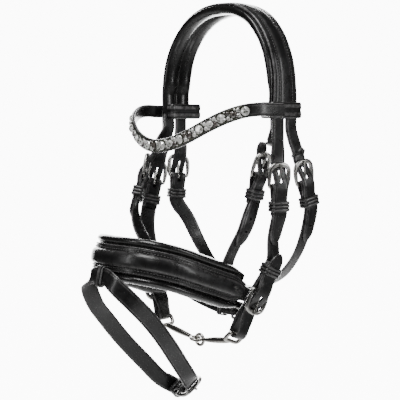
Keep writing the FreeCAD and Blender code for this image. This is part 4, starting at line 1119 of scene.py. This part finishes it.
WEDGE = (-5.5, 7.5, -6.5, 6.5)
for nm, s, S in (("near", 1, NEAR), ("far", -1, FAR)):
    pfx = nm[0]
    for kind, lab, key in (("cheek_top", "cheek", "cheek"), ("hanger", "noseband", "hanger"), ("throat", "throatlatch", "throat")):
        F = S[kind]
        path = billet_path(S, s, kind, TAIL[pfx+"_"+key])
        fl = not outward(path, F)
        node = "%s_%s_billet" % (nm, lab)
        top = path[0]
        path = [(add(top[0], mul(top[2], -d)),)+tuple(top[1:]) for d in (8.0, 5.5, 3.0)]+list(path)
        ob, rp = leather_strap(node+"_v", path, STRAP_W-(0.6 if kind != "cheek_top" else 0), point=15, slots=((F, 5.5, 17.5, -2.5, 8.0),), flip=fl)
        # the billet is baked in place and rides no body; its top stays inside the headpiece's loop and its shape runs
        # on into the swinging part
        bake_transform(ob)
        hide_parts(node)
        ob.data.materials.append(M_STRAP)
        if fl:
            rp = [(p, mul(w, -1), t, mul(n, -1)) for p, w, t, n in rp]
        Lp = arcs_of(rp)[-1]
        hole_pair(rp, node, [19.0] if key != "hanger" else [19.0, 33.0], node)
        node = "%s_%s_buckle" % (nm, lab)
        place(buckle(node+"_v", F), node, M_METAL)
        node = "%s_%s_tongue" % (nm, lab)
        place(buckle_tongue(node+"_v", F), node, M_METAL)
        node = "%s_%s_keeper" % (nm, lab)
        place(leather_loop(node+"_v", F, -25.5, -14.5, -2.8-GAP, 5.8+GAP, STRAP_W/2+0.4), node, M_STRAP)
    F, B = S['cheek_top'], S['cheek_bit']
    cp = cheek_path(S, s)
    low_pt = B.p((50.0 if s > 0 else 42.0)+7.2, -5.2)
    rp = refine(cp, 1.7)
    ra_ = arcs_of(rp)
    su = ra_[min(range(len(rp)), key=lambda i: norm(sub(rp[i][0], low_pt)))]
    def narrow(a, L, su=su):
        x = abs(a-su)
        k = LOOP_W/STRAP_W
        return k if x < 15 else (1.0 if x > 27 else k+(1-k)*smooth01((x-15)/12.0))
    best = min(range(len(rp)), key=lambda i: norm(sub(rp[i][0], F.p(-24, 1.25))))
    fl = dot(rp[best][3], F.n) < 0
    ob, rp = leather_strap("%s_cheekpiece_v" % nm, cp, STRAP_W, point=14, wfun=narrow, slots=((F,)+WEDGE, (B, 5.5, 17.5, 0.5, 8.0)), flip=fl)
    place(ob, "%s_cheekpiece" % nm, M_STRAP)
    if fl:
        rp = [(p, mul(w, -1), t, mul(n, -1)) for p, w, t, n in rp]
    ch = spline(fold(B, 33)+[(B.p(-20, 1.25), B.u), (B.p(-33, 1.25), B.u)], 4.0)
    fl2 = dot(ch[-3][3], B.n) < 0
    ob, _ = leather_strap("%s_bit_chape_v" % nm, ch, STRAP_W, slots=((B,)+WEDGE,), flip=fl2)
    place(ob, "%s_bit_chape" % nm, M_STRAP)
    place(buckle("%s_bit_buckle_v" % nm, B), "%s_bit_buckle" % nm, M_METAL)
    place(buckle_tongue("%s_bit_tongue_v" % nm, B), "%s_bit_tongue" % nm, M_METAL)
    place(leather_loop("%s_bit_runner_v" % nm, B, -29.5, -18.5, -5.5-GAP, 5.25+GAP, STRAP_W/2+0.4), "%s_bit_runner" % nm, M_STRAP)
    hp = strap_path(S, s, 'hanger')
    rp = refine(hp, 1.7)
    best = min(range(len(rp)), key=lambda i: norm(sub(rp[i][0], S['hanger'].p(-24, 1.25))))
    fl = dot(rp[best][3], S['hanger'].n) < 0
    ob, _ = leather_strap("%s_noseband_hanger_v" % nm, hp, STRAP_W, slots=((S['hanger'],)+WEDGE,), flip=fl)
    place(ob, "%s_noseband_hanger" % nm, M_STRAP)
tp = throat_path()
rp = refine(tp, 1.7)
best = min(range(len(rp)), key=lambda i: norm(sub(rp[i][0], NEAR['throat'].p(-24, 1.25))))
fl = dot(rp[best][3], NEAR['throat'].n) < 0
ob, _ = leather_strap("throatlatch_strap_v", tp, STRAP_W, slots=((NEAR['throat'],)+WEDGE, (FAR['throat'],)+WEDGE), flip=fl)
place(ob, "throatlatch_strap", M_STRAP)

# ------------------------------------------------------------------ noseband
def nose_prof_v(s, L):
    e = min(s, L-s)
    f = math.sin(min(1.0, e/26.0)*math.pi/2)
    k = 0.35+0.65*f
    tk = 0.62+0.38*f
    out = []
    for a, b in [(14.6, -1.9), (15.6, -0.9), (16.6, 0.6), (18.2, 1.75), (20.2, 1.65), (22.0, 0.2), (23.3, -2.3), (23.6, -5.0), (22.6, -7.8), (20.4, -9.8), (17.0, -10.9), (13.0, -11.3), (8.5, -10.9), (4.0, -10.1), (1.2, -9.7)]:
        aa = 15.6+(a-15.6)*k if a > 15.6 else a
        out.append((aa, b if b > -2.3 else -2.2+(b+2.2)*tk))
    return out+[(-a, b) for a, b in out[::-1]]
npath = nose_path()
npv = refine(npath, 2.6)
if dot(npv[len(npv)//2][3], (0, -1, 0)) < 0:
    npv = [(p, mul(w, -1), t, mul(n, -1)) for p, w, t, n in npv]
na = arcs_of(npv)
pad = [e for i, e in enumerate(npv) if 4.5 <= na[i] <= na[-1]-4.5]
ob = padded_sweep("noseband_padding_v", pad, nose_prof_v, 8.1, 0.7, 0.45)
place(ob, "noseband_padding", M_PAD)

def nk(s, L):
    f = min(1.0, min(s, L-s)/24.0)
    return 0.66+0.34*math.sin(f*math.pi/2), f
def nose_strap_sec(s, L):
    k, f = nk(s, L)
    # third value: share of the lighter colour, partly rubbed wear on the edges and partly painted highlight on the
    # edges and the raised middle band
    half = [(14.0, -0.4, 1.0), (13.85, 0.7, 1.0), (13.4, 1.35, 0.9), (12.8, 1.5, 0.5), (12.35, 1.3, 0.05), (12.1, 1.28, 0.0), (11.8, 1.5, 0.25), (11.2, 1.55, 0.1), (10.3, 1.52, 0.0), (8.9, 1.5, 0.0),
            (8.3, 1.6, 0.1), (7.9, 2.3, 0.35), (7.3, 3.2, 0.5), (6.3, 4.0, 0.35), (4.8, 4.6, 0.15), (2.6, 4.95, 0.05), (0.9, 5.05, 0.0)]
    out = []
    for a, b, e in half:
        bb = b if b <= 1.6 else 1.55+(b-1.55)*f
        out.append((a*k, bb, e))
    top = out+[(-a, b, e) for a, b, e in out[::-1]]
    bot = [(-13.6*k, -1.2, 0.7), (-12.5*k, -1.5, 0.1), (-5*k, -1.5, 0), (5*k, -1.5, 0), (12.5*k, -1.5, 0.1), (13.6*k, -1.2, 0.7)]
    return top+bot
nps = refine(npath, 1.6)
if dot(nps[len(nps)//2][3], (0, -1, 0)) < 0:
    nps = [(p, mul(w, -1), t, mul(n, -1)) for p, w, t, n in nps]
na = arcs_of(nps)
Ln = na[-1]
rings, attr = [], []
for i, e in enumerate(nps):
    r = []
    for a, b, ed in nose_strap_sec(na[i], Ln):
        nz = 0.16*noise.noise(Vector((na[i]*0.05, a*0.1, 4.4)))+(0.12*noise.noise(Vector((na[i]*0.35, a*0.2, 7.7))) if b > 2 else 0.0)
        r.append(add(e[0], add(mul(e[1], a), mul(e[3], b+nz))))
        attr.append(ed)
    rings.append(r)
v, f = loft(rings)
ob = make("noseband_strap_v", v, f, attr, sharp=50)
place(ob, "noseband_strap", M_STRAP)
rows = []
for a0 in (9.7, -9.7):
    rows.append(stitch_row(nps, lambda s, L, a0=a0: a0*nk(s, L)[0], 1.66, 3.3, 2.55, 0.60, 5.0))
for a0 in (12.95, -12.95):
    rows.append(stitch_row(nps, lambda s, L, a0=a0: a0*nk(s, L)[0], 1.5, 3.1, 2.2, 0.40, 5.0))
v, f = merge(rows)
extra(make("noseband_stitching", v, f, sharp=80), "noseband_strap", M_THREAD)

def auto_flip(path, F, v=-22, n=1.25):
    rp = refine(path, 1.7)
    best = min(range(len(rp)), key=lambda i: norm(sub(rp[i][0], F.p(v, n))))
    return dot(rp[best][3], F.n) < 0
cfp = chin_far_path()
ob, _ = leather_strap("far_chin_strap_v", cfp, STRAP_W, slots=((CHIN_F,)+WEDGE,), flip=auto_flip(cfp, CHIN_F))
place(ob, "far_chin_strap", M_STRAP)
cnp = chin_near_path()
ob, rp = leather_strap("near_chin_strap_v", cnp, STRAP_W-0.6, point=14, slots=((CHIN_F, 5.5, 17.5, -2.5, 8.0),), flip=auto_flip(cnp, CHIN_F, -20, 4))
place(ob, "near_chin_strap", M_STRAP)
place(buckle("chin_buckle_v", CHIN_F), "chin_buckle", M_METAL)
place(buckle_tongue("chin_tongue_v", CHIN_F), "chin_tongue", M_METAL)
place(leather_loop("chin_keeper_v", CHIN_F, -23.0, -15.0, -3.0, 6.1, STRAP_W/2+0.5, bands=2), "chin_keeper", M_STRAP)

# ------------------------------------------------------------------ flash
fhw = FLASH_W/2+2.3+WIRE_R
fp = flash_path()
ob, rp = leather_strap("flash_strap_v", fp, FLASH_W, point=15, slots=((FL,)+WEDGE, (FL, 5.5, 17.5, -2.5, 8.0)), flip=auto_flip(fp, FL, -16, 1.25))
place(ob, "flash_strap", M_STRAP)
place(buckle("flash_buckle_v", FL, hw=fhw), "flash_buckle", M_METAL)
place(buckle_tongue("flash_tongue_v", FL), "flash_tongue", M_METAL)
place(leather_loop("flash_keeper_v", FL, -18.0, -10.0, -3.7, 6.6, FLASH_W/2+0.8, bands=2), "flash_keeper", M_STRAP)
place(leather_loop("flash_carrier_loop_v", CF, -5.5, 5.5, -1.9, 1.9, FLASH_W/2+0.8, wall=1.7, bands=1, corner=1.3, gap=0.0, hgt=0.7), "flash_carrier_loop", M_STRAP)

# ------------------------------------------------------------------ bit
EYE_L = 11.6
EYE_H = LOOP_W/2+0.9+EYE_WIRE
Pn, un, dn = bit_side(NEAR, 1)
Pf, uf, df = bit_side(FAR, -1)
J = mix(add(Pn, mul(dn, EYE_L)), add(Pf, mul(df, EYE_L)), 0.49)
J = (J[0], J[1], -356.0)
CEN_R, CEN_W = 6.0, 1.7
def rod(p, q, radii, n=20, sq=2.0):
    d = unit(sub(q, p))
    a = unit(cross(d, (0.1, 0.2, 0.97)))
    b = cross(d, a)
    L = norm(sub(q, p))
    rings = []
    for f, r in radii:
        c = add(p, mul(d, L*f))
        rings.append([add(c, add(mul(a, x), mul(b, y))) for x, y in ellipse(r, r, n)])
    return loft(rings)
for nm, P, u, d in (("near", Pn, un, dn), ("far", Pf, uf, df)):
    E = add(P, mul(d, EYE_L/2))
    ring_pts = []
    ra, rb, rad = EYE_H, EYE_L/2, 3.6
    for cx, cy, a0 in ((ra-rad, rb-rad, 0), (-ra+rad, rb-rad, 90), (-ra+rad, -rb+rad, 180), (ra-rad, -rb+rad, 270)):
        for g in range(0, 91, 10):
            t = math.radians(a0+g)
            ring_pts.append((cx+rad*math.cos(t), cy+rad*math.sin(t)))
    nrm = unit(cross(u, d))
    rings = []
    m = len(ring_pts)
    for i in range(m):
        x, y = ring_pts[i]
        tx, ty = ring_pts[(i+1) % m][0]-ring_pts[i-1][0], ring_pts[(i+1) % m][1]-ring_pts[i-1][1]
        l = math.hypot(tx, ty)
        out = add(mul(u, ty/l), mul(d, -tx/l))
        c = add(E, add(mul(u, x), mul(d, y)))
        rings.append([add(c, add(mul(out, a), mul(nrm, b))) for a, b in ellipse(EYE_WIRE+0.35, EYE_WIRE+0.35, 16)])
    parts = [loft(rings, cyclic=True, caps=False)]
    root = add(P, mul(d, EYE_L+1.0))
    cdir = unit(sub(J, root))
    C = add(J, mul(cdir, -CEN_R*0.5))
    side = unit(cross(cdir, (0, 0, 1)))
    b_ = unit(cross(side, cdir)) if nm == "near" else side
    rings = []
    for g in range(0, 360, 10):
        t = math.radians(g)
        out = add(mul(cdir, math.cos(t)), mul(b_, math.sin(t)))
        ax = unit(cross(cdir, b_))
        c = add(C, mul(out, CEN_R))
        rings.append([add(c, add(mul(out, a), mul(ax, b))) for a, b in ellipse(CEN_W+0.15, CEN_W+0.15, 14)])
    parts.append(loft(rings, cyclic=True, caps=False))
    end = add(C, mul(cdir, -CEN_R-0.2))
    parts.append(rod(add(P, mul(d, EYE_L-0.6)), end, [(0.0, 1.7), (0.03, 2.5), (0.08, 3.0), (0.2, 3.35), (0.4, 3.6), (0.6, 3.4), (0.8, 2.9), (0.93, 2.4), (1.0, 1.8)], 24))
    v, f = merge(parts)
    ob = make(nm+"_mouthpiece_arm_v", v, f, sharp=80)
    md = ob.modifiers.new("union", "REMESH")
    md.mode = "VOXEL"
    md.voxel_size = 0.00032
    md.use_smooth_shade = True
    ms = ob.modifiers.new("blend", "SMOOTH")
    ms.factor = 0.5
    ms.iterations = 9
    place(ob, nm+"_mouthpiece_arm", M_BIT)

# ------------------------------------------------------------------ studio
def area(name, loc, target, size, size_y, power, col=(1, 1, 1)):
    l = bpy.data.lights.new(name, "AREA")
    l.shape = "RECTANGLE"
    l.size, l.size_y = size, size_y
    l.energy = power
    l.color = col
    o = bpy.data.objects.new(name, l)
    bpy.context.scene.collection.objects.link(o)
    o.location = loc
    o.rotation_euler = (Vector(target)-Vector(loc)).to_track_quat("-Z", "Y").to_euler()
    return o

A_, E_ = math.radians(50), math.radians(4.0)
back = Vector((math.sin(A_)*math.cos(E_), -math.cos(A_)*math.cos(E_), math.sin(E_)))
right = Vector((math.cos(A_), math.sin(A_), 0.0))
T0 = Vector((0.0, -0.042, -0.2-DZ*MM))
cam = bpy.data.cameras.new("photo")
cam.lens = 98.35
cam.sensor_width = 36.0
cam.clip_start = 0.02
co = bpy.data.objects.new("photo", cam)
bpy.context.scene.collection.objects.link(co)
co.location = T0+back*1.202
co.rotation_euler = (-back).to_track_quat("-Z", "Y").to_euler()
bpy.context.scene.camera = co

def stage_plane(name, pts, col, emit, rough=0.9):
    me = bpy.data.meshes.new(name)
    me.from_pydata(pts, [], [(0, 1, 2, 3)])
    o = bpy.data.objects.new(name, me)
    bpy.context.scene.collection.objects.link(o)
    m, nt, b = nodes_of(name)
    b.inputs["Base Color"].default_value = col+(1,)
    b.inputs["Roughness"].default_value = rough
    b.inputs["Specular IOR Level"].default_value = 0.1
    if emit:
        b.inputs["Emission Color"].default_value = (1, 1, 1, 1)
        b.inputs["Emission Strength"].default_value = emit
    me.materials.append(m)
    return o
bk = T0-back*1.5
bk.z = 0
W_ = 0.95
backdrop = stage_plane("backdrop", [tuple(bk-right*W_+Vector((0, 0, -1.0))), tuple(bk+right*W_+Vector((0, 0, -1.0))), tuple(bk+right*W_+Vector((0, 0, 0.75))), tuple(bk-right*W_+Vector((0, 0, 0.75)))], (0.9, 0.9, 0.9), 10.5)
floor = stage_plane("floor", [(-4, -4, -1.3), (4, -4, -1.3), (4, 4, -1.3), (-4, 4, -1.3)], (0.75, 0.75, 0.75), 0.0)

key_t = T0
area("top_box", tuple(T0+Vector((0.15, -0.25, 1.15))), tuple(T0), 0.55, 0.45, 9)
area("left_box", tuple(T0-right*1.15+back*0.75+Vector((0, 0, 0.35))), tuple(T0), 0.22, 1.0, 3.2)
area("right_box", tuple(T0+right*1.25+back*0.55+Vector((0, 0, 0.25))), tuple(T0), 0.20, 1.0, 4.5)
area("front_fill", tuple(T0+back*1.7+Vector((0, 0, 0.75))), tuple(T0), 0.5, 0.25, 1.3)
area("nose_strip", tuple(T0+back*0.75-right*0.25+Vector((0, 0, 0.95))), tuple(T0+Vector((0, 0, -0.08))), 0.9, 0.05, 7.0)
area("low_fill", tuple(T0+back*0.9+Vector((0, 0, -1.0))), tuple(T0), 0.5, 0.25, 1)
w = bpy.data.worlds.new("studio")
bpy.context.scene.world = w
w.use_nodes = True
bg = w.node_tree.nodes["Background"]
bg.inputs["Color"].default_value = (1, 1, 1, 1)
bg.inputs["Strength"].default_value = 0.03
